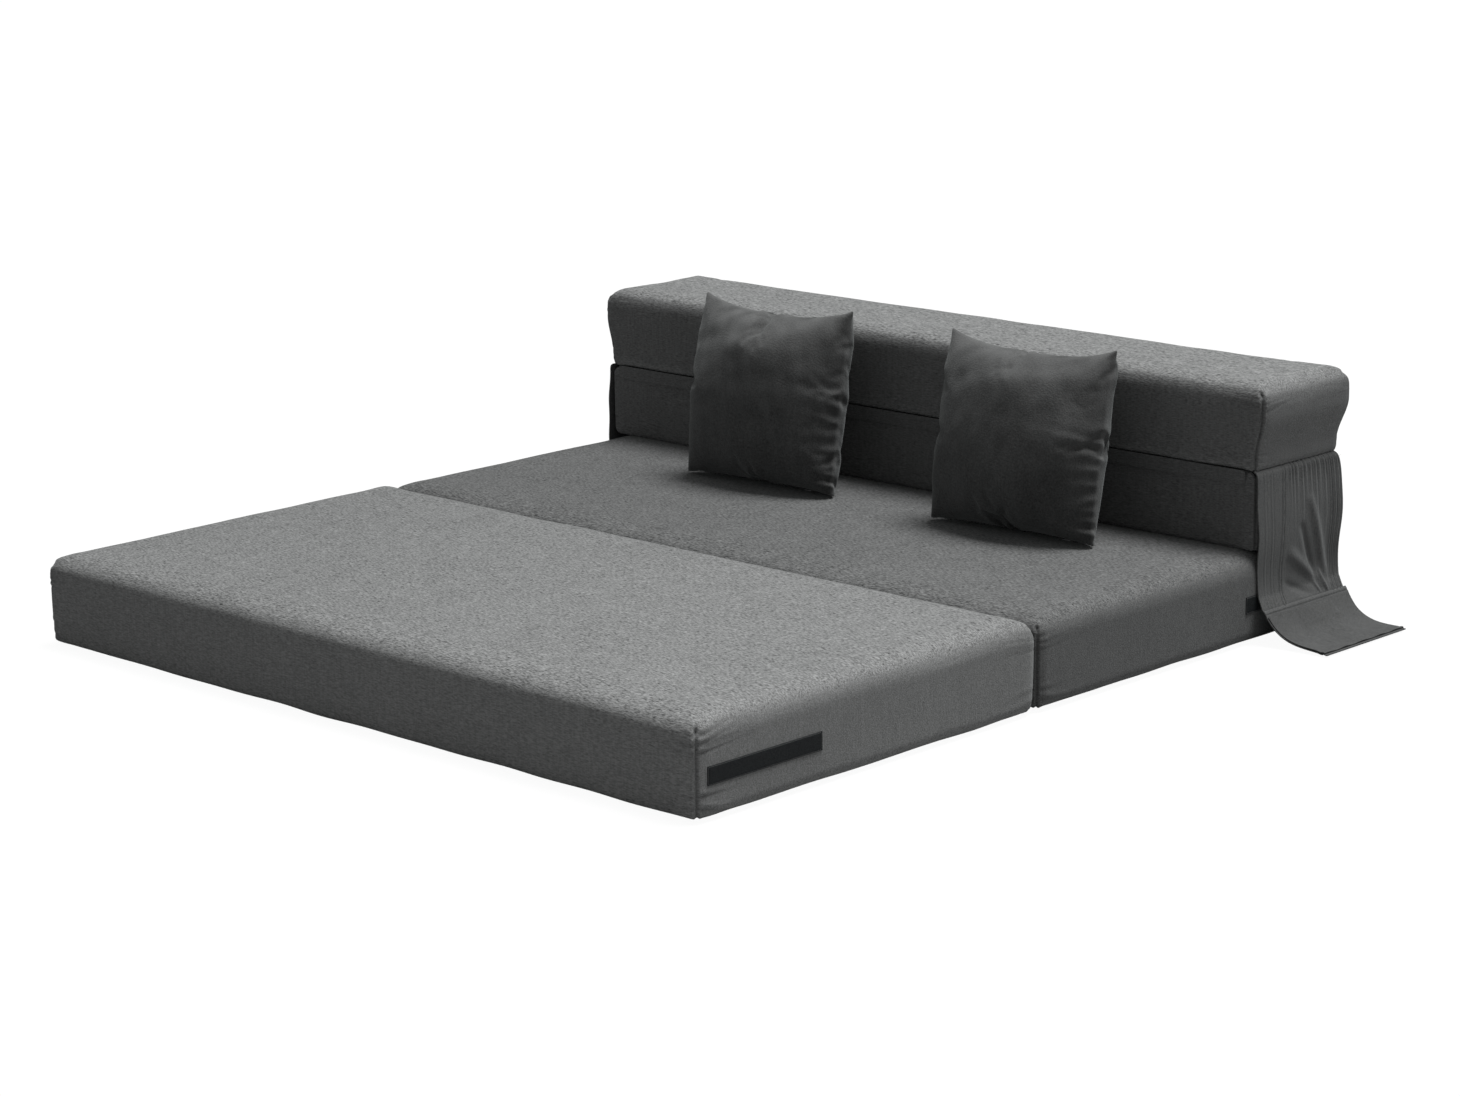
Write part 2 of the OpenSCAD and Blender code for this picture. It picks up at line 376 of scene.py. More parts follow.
def chenille(name, tone, streaks=0.85, blotches=0.10, top_light_and_nap=0.0, painted_light=0.0, light_ramp=0.0,
             grain=(115, 470, 470)):
    """tone is the mean grey. streaks and blotches are how strong the yarns and patches are.
    The next three arguments paint light into the colour, in order: how much lighter the
    level faces are painted than the upright ones, partly for the way the pile lies and
    partly as painted top light; how much painted light the stored top-and-rim mask adds,
    which lights a cushion's upper front and gives its rim seam a painted highlight; and how
    much lighter the cloth is painted per metre to the right, a painted light gradient. grain
    is the yarns per metre along X, Y and Z."""
    cloth = Finish(name, Roughness=0.95, Sheen_Weight=0.22, Sheen_Roughness=0.45,
                   Sheen_Tint=(0.85, 0.9, 0.9, 1), Specular_IOR_Level=0.18)
    where = cloth.place()
    yarn = cloth.stretch(cloth.noise(where, grain, 2.0, 0.55), 0.34, 0.66)
    slub = cloth.stretch(cloth.noise(where, (40, 290, 290), 1.0), 0.58, 0.74)
    pit = cloth.stretch(cloth.noise(where, (85, 270, 270), 1.0), 0.56, 0.72)
    upright = cloth.stretch(cloth.noise(where, (260, 260, 22), 1.0), 0.34, 0.66)
    fibre = cloth.noise(where, 1500.0, 1.0)
    blotch = cloth.stretch(cloth.noise(where, (26, 26, 7), 3.0), 0.30, 0.72)
    pale = cloth.stretch(cloth.noise(where, 4.0, 2.0), 0.35, 0.7)
    on_top = cloth.stored("top_light_and_nap")
    relief = (streaks * (yarn - 0.5) + blotches * (blotch - 0.5)
              + 0.36 * slub - 0.38 * pit + 0.16 * (fibre - 0.5))
    light = 1 + relief * (0.50 + 0.75 * on_top) + 0.11 * (1 - on_top) * (upright - 0.5) \
        + 0.05 * (pale - 0.5)
    # Painted light from the stored mask: a cushion's upper front is painted lighter and its rim
    # seam gets a painted highlight.
    if painted_light:
        light = light + painted_light * cloth.stored("painted_light")
    # Painted top light, partly for the way the pile lies: level faces come out lighter than upright
    # ones.
    if top_light_and_nap:
        light = light * ((1 - top_light_and_nap) + 2 * top_light_and_nap * on_top)
    # A painted light gradient: the cloth is painted lighter towards the right.
    if light_ramp:
        light = light * (1 + light_ramp * cloth.axes(where)[0])
    # Painted shade in the seam grooves, puckers, tucks and creases stored on each mesh.
    light = light * (1 - 0.55 * cloth.stored("seam"))
    cloth.feed(Base_Color=cloth.grey(light * tone, YARN_TINT),
               Roughness=0.98 - 0.12 * yarn)
    cloth.bump(0.55 * yarn + 0.30 * fibre + 0.15 * slub, 0.0010, 0.6)
    return cloth


# The seat panels are one cloth. The middle panel's lower tone is partly the other way its pile lies
# and partly painted shade under the backrest and cushions.
FRONT_TONE, MID_TONE, BACK_TONE = 0.208, 0.127, 0.186
FLAP_TONE, CUFF_TONE, CUSHION_TONE, TAPE_TONE = 0.112, 0.087, 0.060, 0.10
# The seat and backrest covers are painted lighter on their level faces and lighter towards the
# right, as painted light.
front_cloth = chenille("front_chenille", FRONT_TONE, top_light_and_nap=0.04, light_ramp=0.11)
mid_cloth = chenille("mid_chenille", MID_TONE, streaks=0.95, blotches=0.14, top_light_and_nap=0.04,
                     light_ramp=0.11)
back_cloth = chenille("back_chenille", BACK_TONE, top_light_and_nap=0.26, light_ramp=0.05)
# The lower backrest block is the backrest cloth painted darker, as painted shade under the upper
# block and behind the cushions.
lower_cloth = chenille("lower_back_chenille", 0.84 * BACK_TONE, top_light_and_nap=0.26)
flap_cloth = chenille("flap_chenille", FLAP_TONE, streaks=0.75, blotches=0.22)
cuff_cloth = chenille("cuff_chenille", CUFF_TONE, streaks=0.75, blotches=0.22)
# The cushion cloth takes painted light on its upper front and a painted highlight on its rim seam.
cushion_cloth = chenille("cushion_chenille", CUSHION_TONE, streaks=0.9, blotches=0.6,
                         painted_light=1.25, grain=(240, 420, 240))
tape_cloth = chenille("hinge_tape_cloth", TAPE_TONE, streaks=0.4, blotches=0.15)
print("cloth finishes", front_cloth.material.name, mid_cloth.material.name)

# %% [markdown]
# ## The plain finishes
# Foam, the cushion's inner bag, hook tape, loop tape, zip tape and metal, thread, and the
# dark non-slip cloth with its rubber dots.

# %% Foam, bag and thread
foam = Finish("foam", Roughness=0.95)
pores = foam.noise(foam.place(), 700.0, 2.0)
foam.feed(Base_Color=foam.mix(pores, (0.74, 0.62, 0.38), (0.86, 0.78, 0.56)))
foam.bump(pores, 0.0015, 0.7)

inner_bag = Finish("inner_bag", Roughness=0.8, Sheen_Weight=0.2)
bag_weave = inner_bag.noise(inner_bag.place(), (900, 900, 60), 1.0)
inner_bag.feed(Base_Color=inner_bag.mix(bag_weave, (0.70, 0.70, 0.68), (0.82, 0.82, 0.80)))
inner_bag.bump(bag_weave, 0.0006, 0.5)

thread = Finish("thread", Roughness=0.7, Sheen_Weight=0.3)
twist = thread.noise(thread.place(), (2600, 2600, 900), 1.0)
thread.feed(Base_Color=thread.mix(twist, (0.050, 0.053, 0.054), (0.14, 0.145, 0.145)))
thread.bump(twist, 0.0004, 0.6)

# %% Hook tape, zip tape, zip metal and non-slip cloth
def fastening(name, dark, light, per_metre, depth):
    tape = Finish(name, Roughness=0.78, Specular_IOR_Level=0.3)
    tufts = tape.stretch(tape.noise(tape.place(), per_metre, 1.0), 0.35, 0.65)
    tape.feed(Base_Color=tape.mix(tufts, dark, light), Roughness=0.85 - 0.3 * tufts)
    tape.bump(tufts, depth, 0.8)
    return tape


hook_tape = fastening("hook_tape", (0.005, 0.007, 0.008), (0.016, 0.020, 0.023), 1100.0, 0.0012)
loop_tape = fastening("loop_tape", (0.010, 0.011, 0.012), (0.035, 0.037, 0.038), 1700.0, 0.0016)
zip_tape = fastening("zip_tape", (0.016, 0.017, 0.018), (0.040, 0.041, 0.042),
                     (700, 2200, 2200), 0.0005)
zip_metal = Finish("zip_metal", Metallic=1.0, Roughness=0.32)
scuff = zip_metal.noise(zip_metal.place(), 900.0, 2.0)
zip_metal.feed(Base_Color=zip_metal.mix(scuff, (0.36, 0.36, 0.37), (0.58, 0.58, 0.60)),
               Roughness=0.26 + 0.22 * scuff)

non_slip = Finish("non_slip_cloth", Roughness=0.9, Specular_IOR_Level=0.25)
dots = non_slip.node("ShaderNodeTexVoronoi", {"feature": "F1"},
                     {"Vector": non_slip.place(), "Scale": 95.0, "Randomness": 0.0})
dot = 1 - non_slip.stretch(dots, 0.20, 0.30)
ground = non_slip.noise(non_slip.place(), 900.0, 2.0)
non_slip.feed(Base_Color=non_slip.grey(0.018 + 0.022 * ground + 0.020 * dot, (1, 1, 1.03)),
              Roughness=0.92 - 0.45 * dot)
non_slip.bump(dot * 0.7 + ground * 0.3, 0.0012, 0.9)
print("plain finishes ready")

# %% [markdown]
# ## Boxed foam covers
# Each block is a slab of foam in a cover that fits like a sheet: the cloth runs over the
# top edges without a seam and is sewn only down the four upright corners. A bevelled box
# would look like a crate, so the shape is made in three steps. Three beveled bars cross to
# give the slab its different edge radii, a voxel remesh turns it into an even net of small
# faces, and Blender's Cloth blows that net up from a slightly smaller start, as the foam
# does with the real cover. How far a point may move is capped, and the swollen cover is
# then fitted to its solid and pressed flat where it would stand out too far.

# %% Slab with rounded edges
def rounded_slab(name, low, high, r_top, r_bottom, r_corner):
    low, high = Vector(low), Vector(high)

    def bar(axis, radii):
        """A long bar along one axis whose four long edges are rounded."""
        reach = [0.1 if i == axis else 0 for i in range(3)]
        piece = box_between("bar", low - Vector(reach), high + Vector(reach))
        for level, radius in radii:
            def rim(edge):
                a, b = (v.co for v in edge.verts)
                along = abs((a - b)[axis]) > 0.9 * (a - b).length and (a - b).length > 0.1
                return along and (level is None or abs(a.z - level) < 1e-5)
            edit_on(piece, "EDGE", rim, bevel(radius, 6))
        return piece

    slab = bar(2, [(None, r_corner)])
    for axis in (0, 1):
        cutter = bar(axis, [(high.z, r_top), (low.z, r_bottom)])
        apply_modifier(slab, "BOOLEAN", operation="INTERSECT", solver="EXACT", object=cutter)
        bpy.data.objects.remove(cutter)
    slab.name = slab.data.name = name
    return slab


# %% Cloth pressure with a cap
def inflate(piece, pressure, cap, frames=14, stiffness=15.0, bending=0.5, quality=5, shrink=1.0):
    """Swells a closed piece, with shrink as the share of any inward move that is kept.
    Returns how far its points moved, in millimetres."""
    start, outward = points(piece), normals(piece)
    select_only(piece)
    cloth = piece.modifiers.new("Cloth", "CLOTH")
    made_of = cloth.settings
    made_of.quality = quality
    made_of.use_pressure = True
    made_of.uniform_pressure_force = pressure
    made_of.effector_weights.gravity = 0
    made_of.tension_stiffness = made_of.compression_stiffness = stiffness
    made_of.shear_stiffness = stiffness / 3
    made_of.bending_stiffness = bending
    for number in range(1, frames + 1):
        bpy.context.scene.frame_set(number)
    bpy.ops.object.modifier_apply(modifier=cloth.name)
    bpy.context.scene.frame_set(1)
    step = points(piece) - start
    length = np.linalg.norm(step, axis=1)
    step *= (np.minimum(length, cap) / np.maximum(length, 1e-9))[:, None]
    inwards = np.minimum((step * outward).sum(axis=1), 0)
    set_points(piece, start + step - outward * (inwards * (1 - shrink))[:, None])
    return round(float(np.minimum(length, cap).mean()) * 1000, 2)

# %% [markdown]
# ## Corner seams, gathers and soft edges
# A boxed cover gives itself away at its corners. The seam pulls a thin valley down the
# corner, the spare cloth beside it gathers in short level folds that run out along both
# faces, the four layers of cloth leave a small pucker at the top of the seam, and the
# bottom corner is drawn in under the block. These are pushed into the finer mesh around
# each corner. The long edges are never quite straight either, so they get a slow wave.

# %% Push seams and gathers into a cover
def corner_work(places, outward, low, high, corners, radii, seed, depth=0.0024):
    """Offsets for the corner seams, and how much painted shade each point gets in the seam
    groove, the pucker at its top and the creases of the gathers.
    """
    r_top, r_bottom, r_corner = radii
    offset = np.zeros_like(places)
    dark = np.zeros(len(places))
    for number, (cx, cy, gather) in enumerate(corners):
        draw = np.random.default_rng(seed + number)
        dx, dy = np.abs(places[:, 0] - cx), np.abs(places[:, 1] - cy)
        run = np.abs(dx - dy)
        near = np.hypot(dx, dy) < 0.30
        face = near & (np.minimum(dx, dy) < 0.030)
        height = places[:, 2]
        seam_top, seam_low = high[2] - 0.55 * r_top, low[2] + 0.3 * r_bottom
        upright = 1 / (1 + np.exp(-(seam_top - height) / 0.003))
        upright *= 1 / (1 + np.exp(-(height - seam_low) / 0.004))
        groove = bump_at(run, 0.0034) * upright * face
        lips = (bump_at(run - 0.0075, 0.004)) * upright * face
        offset -= outward * (depth * groove - 0.0012 * lips)[:, None]
        # Painted shade in the seam valley.
        dark = np.maximum(dark, 0.7 * groove)
        pucker = bump_at(run, 0.006) * bump_at(height - seam_top, 0.006) * near
        offset -= outward * (0.006 * pucker)[:, None]
        # Painted shade in the pucker's hollow.
        dark = np.maximum(dark, pucker)
        levels = np.concatenate([seam_top - np.array([0.004, 0.013, 0.022, 0.034]),
                                 seam_low + np.array([0.006, 0.018, 0.030, 0.050])])
        along_y = dx < dy
        for level in levels:
            level += draw.uniform(-0.003, 0.003)
            for side, spread in ((along_y, 1.5), (~along_y, 0.8)):
                reach = draw.uniform(0.018, 0.050) * spread
                slope = (level - low[2]) / (high[2] - low[2]) - 0.5
                slope = 0.35 * slope + draw.uniform(-0.10, 0.10)
                away = height - level - slope * run
                fade = np.exp(-run / reach) * (1 - bump_at(run, 0.006)) * side * face
                rise = gather * draw.uniform(0.0014, 0.0028)
                fold = bump_at(away, 0.0048 + 0.03 * run) - 0.7 * bump_at(away + 0.0075, 0.0036)
                offset += outward * (rise * fade * fold)[:, None]
                # Painted shade in the crease under each gather.
                dark = np.maximum(dark, 0.75 * gather * fade * bump_at(away + 0.0075, 0.0030))
        sag = bump_at(np.hypot(dx, dy), 0.06) * bump_at(height - low[2], 0.050) * near
        inward = np.column_stack([np.sign(places[:, 0]) * -1.0,
                                  np.sign(cy - (low[1] + high[1]) / 2) * -np.ones(len(places)),
                                  np.full(len(places), 0.10)])
        offset += inward * (0.10 * r_corner * sag)[:, None]
    return offset, dark


def store(piece, name, values):
    attribute = piece.data.attributes.get(name) or piece.data.attributes.new(
        name, "FLOAT", "POINT")
    attribute.data.foreach_set("value", values.astype(np.float32))


# %% Make one cover and its foam core
COVER_START = 0.005        # how far inside its solid the slab starts, before it swells
CORE_GAP = 0.007           # foam to cloth on the faces, and as much more again
CORNER_GAP = 0.009         # at the four upright corners
HEM_DROP = 0.0045          # how far the seat's bottom rim sinks to the floor
COVER_PRESSURE, COVER_CAP = 4.0, 0.008


def fit_cover(places, low, high, part):
    """Fits the cover to its solid, with the faces that touch nothing a little proud, and
    pushes it against those planes, which flattens its faces and sharpens its edges."""
    proud_low, proud_high, push = SWELL[part][:3]
    low, high = low - proud_low, high + proud_high
    least, most = places.min(axis=0), places.max(axis=0)
    places = (low - push) + (places - least) / (most - least) * (high - low + 2 * push)
    return np.clip(places, low, high), low, high


def settle_foam(places, low, high, part):
    """Lets the top of the upper backrest block bulge, and the seat's bottom rim sink."""
    end_rise, rear_rise = SWELL[part][3:]
    share = np.clip((places[:, 2] - low[2]) / (high[2] - low[2]) / 0.45 - 0.4, 0, 1)
    share = share * share * (3 - 2 * share)
    at_end = np.clip(np.abs(places[:, 0]) / high[0] * 8 - 7, 0, 1) ** 2
    at_rear = np.clip(2 * (places[:, 1] - low[1]) / (high[1] - low[1]) - 1, 0, 1) ** 2
    places[:, 0] += np.sign(places[:, 0]) * end_rise * at_end * share
    places[:, 1] += rear_rise * at_rear * share
    if part in ("front", "mid"):
        inset = np.minimum(high[0] - np.abs(places[:, 0]),
                           np.minimum(places[:, 1] - low[1], high[1] - places[:, 1]))
        rim = np.clip((0.060 - inset) / 0.035, 0, 1)
        places[:, 2] -= HEM_DROP * rim * np.clip((0.04 - places[:, 2]) / 0.03, 0, 1)
    return places


def soft_block(part, body, slot_name, finish, radii, voxel, seed):
    """A cover and its foam core. voxel is the size of the cover's faces before they are
    split, and seed starts its random draws."""
    low, high = (np.array(c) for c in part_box(part + "_cover"))
    shrink = np.full(3, COVER_START)
    r_top, r_bottom, r_corner = radii
    cover = rounded_slab(part + "_cover_cloth", low + shrink, high - shrink,
                         r_top, r_bottom, r_corner)
    apply_modifier(cover, "REMESH", mode="VOXEL", voxel_size=voxel, use_smooth_shade=True)
    moved = 0.0
    moved = inflate(cover, COVER_PRESSURE, COVER_CAP, shrink=0.15)
    places = points(cover)
    places += normals(cover) * (0.0008 * wave_noise(places, 0.22, seed))[:, None]
    places, least, most = fit_cover(places, low, high, part)
    set_points(cover, places)
    core = copy_of(cover, part + "_foam")
    apply_modifier(cover, "SUBSURF", levels=1, render_levels=1)
    gather = {"front": (1.0, 0.45), "mid": (0.6, 0.45)}.get(part, (0.4, 0.15))
    corners = [(x, y, share) for x in (low[0], high[0])
               for y, share in zip((low[1], high[1]), gather)]

    def near_corner(face):
        c = face.calc_center_median()
        for cx, cy, _ in corners:
            run_x, run_y = abs(c.x - cx), abs(c.y - cy)
            if (min(run_x, run_y) < 0.03 and max(run_x, run_y) < 0.10
                    and c.z < high[2] - 0.2 * r_top):
                return True
        return False

    refined = edit_on(cover, "FACE", near_corner, subdivide(2))
    offset, dark = corner_work(points(cover), normals(cover), low, high, corners, radii, seed)
    places = np.clip(points(cover) + offset, least, most)
    set_points(cover, settle_foam(places, least, most, part))
    # The painted shade of the corner seams, puckers and gather creases.
    store(cover, "seam", dark)
    # How level each face is: the mask that paints top light, partly for the way the pile lies, and
    # sets the yarn contrast.
    store(cover, "top_light_and_nap", np.abs(normals(cover)[:, 2]))
    sunk, _ = corner_work(points(core), normals(core), low, high, corners, radii, seed)
    places = points(core)
    near = sum(bump_at(np.hypot(places[:, 0] - cx, places[:, 1] - cy), 0.06)
               for cx, cy, _ in corners)
    places = places + sunk - normals(core) * (CORE_GAP + CORNER_GAP * near)[:, None]
    set_points(core, settle_foam(places, least, most, part))
    apply_modifier(core, "DECIMATE", ratio=0.5)
    for piece, node, name in ((cover, "_cover", slot_name), (core, "_foam_core", "foam")):
        smooth_all(piece)
        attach(piece, body)
        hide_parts(part + node)
    dress(cover, finish)
    dress(core, foam)
    print(part, "cover", tris(cover), "core", tris(core), "refined", refined,
          "mean swell mm", moved)
    return cover


# How far the fitted cover stands proud of its solid at the low and the high side of X, Y
# and Z, how hard it is pressed flat, and how far its top bulges at the ends and the rear.
SWELL = {
    "front": ([0.005, 0.004, 0.0], [0.005, 0.0, 0.008], [0.004, 0.004, 0.004], 0.0, 0.0),
    "mid": ([0.004, 0.0, 0.0], [0.004, 0.0, 0.002], [0.004, 0.004, 0.004], 0.0, 0.0),
    "lower_back": ([0, 0, 0], [0, 0, 0], [0.008, 0.007, 0.008], 0.0, 0.0),
    "upper_back": ([0, 0, 0], [0, 0, 0.002], [0.008, 0.008, 0.007], 0.016, 0.020),
}
SWELL = {part: [np.array(x) for x in row] for part, row in SWELL.items()}
# The radii of the top edges, the bottom edges and the upright corners.
SEAT_RADII = (0.036, 0.009, 0.024)
LOWER_RADII, UPPER_RADII = (0.004, 0.008, 0.008), (0.034, 0.004, 0.008)
BODY_OF = {"front": "front_seat", "mid": "mid_seat",
           "lower_back": "lower_back", "upper_back": "upper_back"}
BLOCKS = {}
for part, slot_name, finish, radii, voxel, seed in (
        ("front", "seat_cloth", front_cloth, SEAT_RADII, 0.016, 11),
        ("mid", "seat_cloth", mid_cloth, SEAT_RADII, 0.016, 23),
        ("lower_back", "back_cloth", lower_cloth, LOWER_RADII, 0.011, 37),
        ("upper_back", "back_cloth", back_cloth, UPPER_RADII, 0.011, 41)):
    BLOCKS[part] = soft_block(part, BODY_OF[part], slot_name, finish, radii, voxel, seed)

# %% [markdown]
# ## Laying flat things on soft faces
# Zips, hook strips and tapes are sewn to covers that are no longer flat. The zips and hook
# strips are modelled flat, on the plane where the cover's face would be, and then every
# point is moved by as much as the cloth under it stands in front of that plane or behind
# it. A ray from outside finds the cloth, so the piece keeps its own thickness and follows
# every swell.

# %% Drop a flat piece on to a cover
def lay_on(piece, cover, axis, side, plane, limit=0.012):
    """Moves points along an axis by how far the cover there lies from the plane."""
    cover.data.calc_loop_triangles()
    corners = points(cover)
    faces = [tuple(t.vertices) for t in cover.data.loop_triangles]
    cloth = BVHTree.FromPolygons([tuple(c) for c in corners], faces)
    way = Vector([-side if i == axis else 0 for i in range(3)])
    places = points(piece)
    found = np.full(len(places), np.nan)
    for number, place in enumerate(places):
        start = Vector(place)
        start[axis] = plane + side * 0.1
        hit = cloth.ray_cast(start, way, 0.2)[0]
        if hit is not None:
            found[number] = hit[axis] - plane
    found[np.isnan(found)] = np.nanmedian(found) if not np.isnan(found).all() else 0.0
    places[:, axis] += np.clip(found, -limit, limit)
    set_points(piece, places)


def repeat(name, piece, turns_and_places):
    """One mesh with a copy of piece at each 4x4 matrix, and removes the model copied."""
    model, count = points(piece), len(piece.data.vertices)
    faces = [tuple(f.vertices) for f in piece.data.polygons]
    corners, all_faces = [], []
    for number, matrix in enumerate(turns_and_places):
        turn = np.array(matrix)
        corners.append(model @ turn[:3, :3].T + turn[:3, 3])
        all_faces += [tuple(v + number * count for v in face) for face in faces]
    mesh = bpy.data.meshes.new(name)
    mesh.from_pydata(np.concatenate(corners).tolist(), [], all_faces)
    made = bpy.data.objects.new(name, mesh)
    bpy.context.scene.collection.objects.link(made)
    bpy.data.objects.remove(piece)
    return made


def smooth(piece, degrees=35):
    select_only(piece)
    bpy.ops.object.shade_smooth_by_angle(angle=math.radians(degrees))
    return piece

# %% [markdown]
# ## Stitches
# A stitch is a short piece of thread that dips into the cloth at both ends. It is a
# six-sided rod whose end faces are drawn in and down, modelled once, and then repeated
# along each seam with a small gap after every stitch.

# %% One stitch and rows of it
STITCH, STITCH_STEP, THREAD_R = 0.0034, 0.0046, 0.00045


def one_stitch():
    select_only()
    bpy.ops.mesh.primitive_cylinder_add(vertices=6, radius=THREAD_R, depth=STITCH,
                                        rotation=(0, math.radians(90), 0))
    rod = settle(named("stitch"))
    edit_on(rod, "FACE", lambda f: abs(f.normal.x) > 0.9, inset(THREAD_R * 0.45, THREAD_R * 0.5))
    edit_on(rod, "FACE", lambda f: abs(f.normal.x) > 0.9,
            lambda: bpy.ops.transform.translate(value=(0, 0, -THREAD_R * 0.8)))
    return rod


def stitches(name, rows):
    """rows are (start, end, outward), and the thread lies along each."""
    frames = []
    for start, end, outward in rows:
        start, end, up = Vector(start), Vector(end), Vector(outward).normalized()
        along = (end - start).normalized()
        across = up.cross(along)
        turn = Matrix((along, across, up)).transposed()
        for number in range(int((end - start).length / STITCH_STEP)):
            spot = start + along * (number + 0.5) * STITCH_STEP
            frames.append(Matrix.Translation(spot) @ turn.to_4x4())
    return smooth(dress(repeat(name, one_stitch(), frames), thread), 60)

# %% [markdown]
# ## Hook strips
# Four black strips of hook tape are sewn to the sides of the seat panels. The hooks stand
# in a field that is a little higher than the plain woven edge round it, which is what the
# needle goes through. So the strip is a thin box whose outer face is inset and raised.

# %% Hook strips with their stitches
def patch(name, low, high, rows, axis, side, edge, rise):
    """A thin box with a raised field inside a plain edge on the face that looks outwards."""
    piece = box_between(name, low, high)
    for along, cuts in rows:
        edit_on(piece, "EDGE", runs_along(along), subdivide(cuts))
    edit_on(piece, "FACE", faces_along(axis, side), inset(edge), inset(0.0004, rise))
    return piece


HOOK_THICK, HOOK_EDGE, HOOK_RISE = 0.0016, 0.0032, 0.0006
SIDES = (("left", -1), ("right", 1))
for part in ("front", "mid"):
    for hand, side in SIDES:
        node = f"{part}_hook_strip_{hand}"
        low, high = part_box(node)
        plane = (low.x if side > 0 else high.x) - side * 0.0001
        face_x = plane + side * HOOK_THICK
        strip = patch(node + "_tape", (min(plane, face_x), low.y, low.z),
                      (max(plane, face_x), high.y, high.z), ((1, 30), (2, 5)), 0, side,
                      HOOK_EDGE, HOOK_RISE)
        inner = HOOK_EDGE * 0.5
        sewn = stitches(node + "_stitches", [
            ((face_x, low.y + inner, z), (face_x, high.y - inner, z), (side, 0, 0))
            for z in (low.z + inner, high.z - inner)] + [
            ((face_x, y, low.z + inner), (face_x, y, high.z - inner), (side, 0, 0))
            for y in (low.y + inner, high.y - inner)])
        for piece in (strip, sewn):
            lay_on(piece, BLOCKS[part], 0, side, plane)
            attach(piece, BODY_OF[part])
        dress(smooth(strip), hook_tape)
        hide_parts(node)
print("hook strip faces", len(strip.data.polygons))

# %% [markdown]
# ## Zips
# Every cover closes with a long zip where it doesn't show. A woven tape lies on the cloth,
# and the metal teeth bite in turn from its two halves, so two rows of the same tooth are
# set half a pitch apart. One tooth is a small block with its top drawn in, and the row is
# made by repeating it. The slider is a wedge-shaped body with a bridge and a pull tab.

# %% Tooth rows and tape
PITCH = 0.0034


def one_tooth():
    tooth = box_between("tooth", (-0.00075, -0.0031, 0), (0.00075, 0.0006, 0.0010))
    for axis in (2, 1):
        edit_on(tooth, "FACE", faces_along(axis), inset(0.0003, 0.0003))
    return tooth


def flat_zip(name, length):
    """A closed zip along X, lying on the plane z = 0."""
    tape = patch(name, (-length / 2, -0.013, 0.0001), (length / 2, 0.013, 0.0008),
                 ((0, 60), (1, 2)), 2, 1, 0.0012, 0.0001)
    half = Matrix.Rotation(math.pi, 4, "Z")
    spots = []
    for number in range(int((length - 0.02) / PITCH)):
        x = 0.01 - length / 2 + number * PITCH
        spots.append(Matrix.Translation((x, 0, 0.0008)))
        spots.append(Matrix.Translation((x + PITCH / 2, 0, 0.0008)) @ half)
    teeth = repeat(name + "_teeth", one_tooth(), spots)
    dress(tape, zip_tape)
    dress(teeth, zip_metal)
    return join(name, [teeth, tape])


# %% Slider
def flat_slider(name):
    """A slider on a zip along X at the origin, with its pull lying towards -X."""
    parts = []
    for part, low, high, radius, rim, rise in (
            ("slider_body", (-0.006, -0.0046, 0.0023), (0.007, 0.0046, 0.0036),
             0.0026, 0.0009, 0.0002),
            ("slider_pull", (-0.031, -0.0038, 0.0028), (-0.005, 0.0038, 0.0038),
             0.0022, 0.0014, -0.0003)):
        plate = box_between(part, low, high)
        edit_on(plate, "EDGE", runs_along(2), bevel(radius, 3))
        edit_on(plate, "FACE", faces_along(2), inset(rim, rise))
        parts.append(plate)
    select_only()
    bpy.ops.mesh.primitive_torus_add(major_radius=0.0015, minor_radius=0.0005,
                                     major_segments=16, minor_segments=6,
                                     location=(-0.0045, 0, 0.0032),
                                     rotation=(math.radians(90), 0, 0))
    piece = join(name, parts + [settle(named("slider_ring"))])
    apply_modifier(piece, "BEVEL", width=0.00025, segments=1)
    return dress(smooth(piece), zip_metal)


# %% Cover zips and their sliders
def place_flat(piece, where, turn):
    piece.matrix_world = Matrix.Translation(where) @ turn
    return settle(piece)


ON_REAR = Matrix.Rotation(math.radians(-90), 4, "X")
UNDER = Matrix.Rotation(math.radians(180), 4, "X")
for part, body in BODY_OF.items():
    low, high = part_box(part + "_zip_chain")
    slider_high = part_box(part + "_zip_slider")[1]
    middle = (low + high) / 2
    if part == "front":
        where, turn, axis, side = Vector((0, middle.y, high.z + 0.0001)), UNDER, 2, -1
    else:
        where, turn, axis, side = Vector((0, low.y - 0.0001, middle.z)), ON_REAR, 1, 1
    chain = place_flat(flat_zip(part + "_zip", high.x - low.x), where, turn)
    at_slider = Vector((slider_high.x - 0.007, where.y, where.z))
    slider = place_flat(flat_slider(part + "_slider"), at_slider, turn)
    lay_on(chain, BLOCKS[part], axis, side, where[axis], 0.003)
    smooth(chain)
    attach(chain, body)
    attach(slider, part + "_slider")
    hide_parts(part + "_zip_chain")
    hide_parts(part + "_zip_slider")
print("zip chain triangles", tris(chain), "slider", tris(slider))

# %% [markdown]
# ## Hinge tapes
# The blocks are joined by wide cloth tapes. One lies under the seat panels, one behind the
# seat and the backrest, and one in front of the joint between the two backrest blocks.

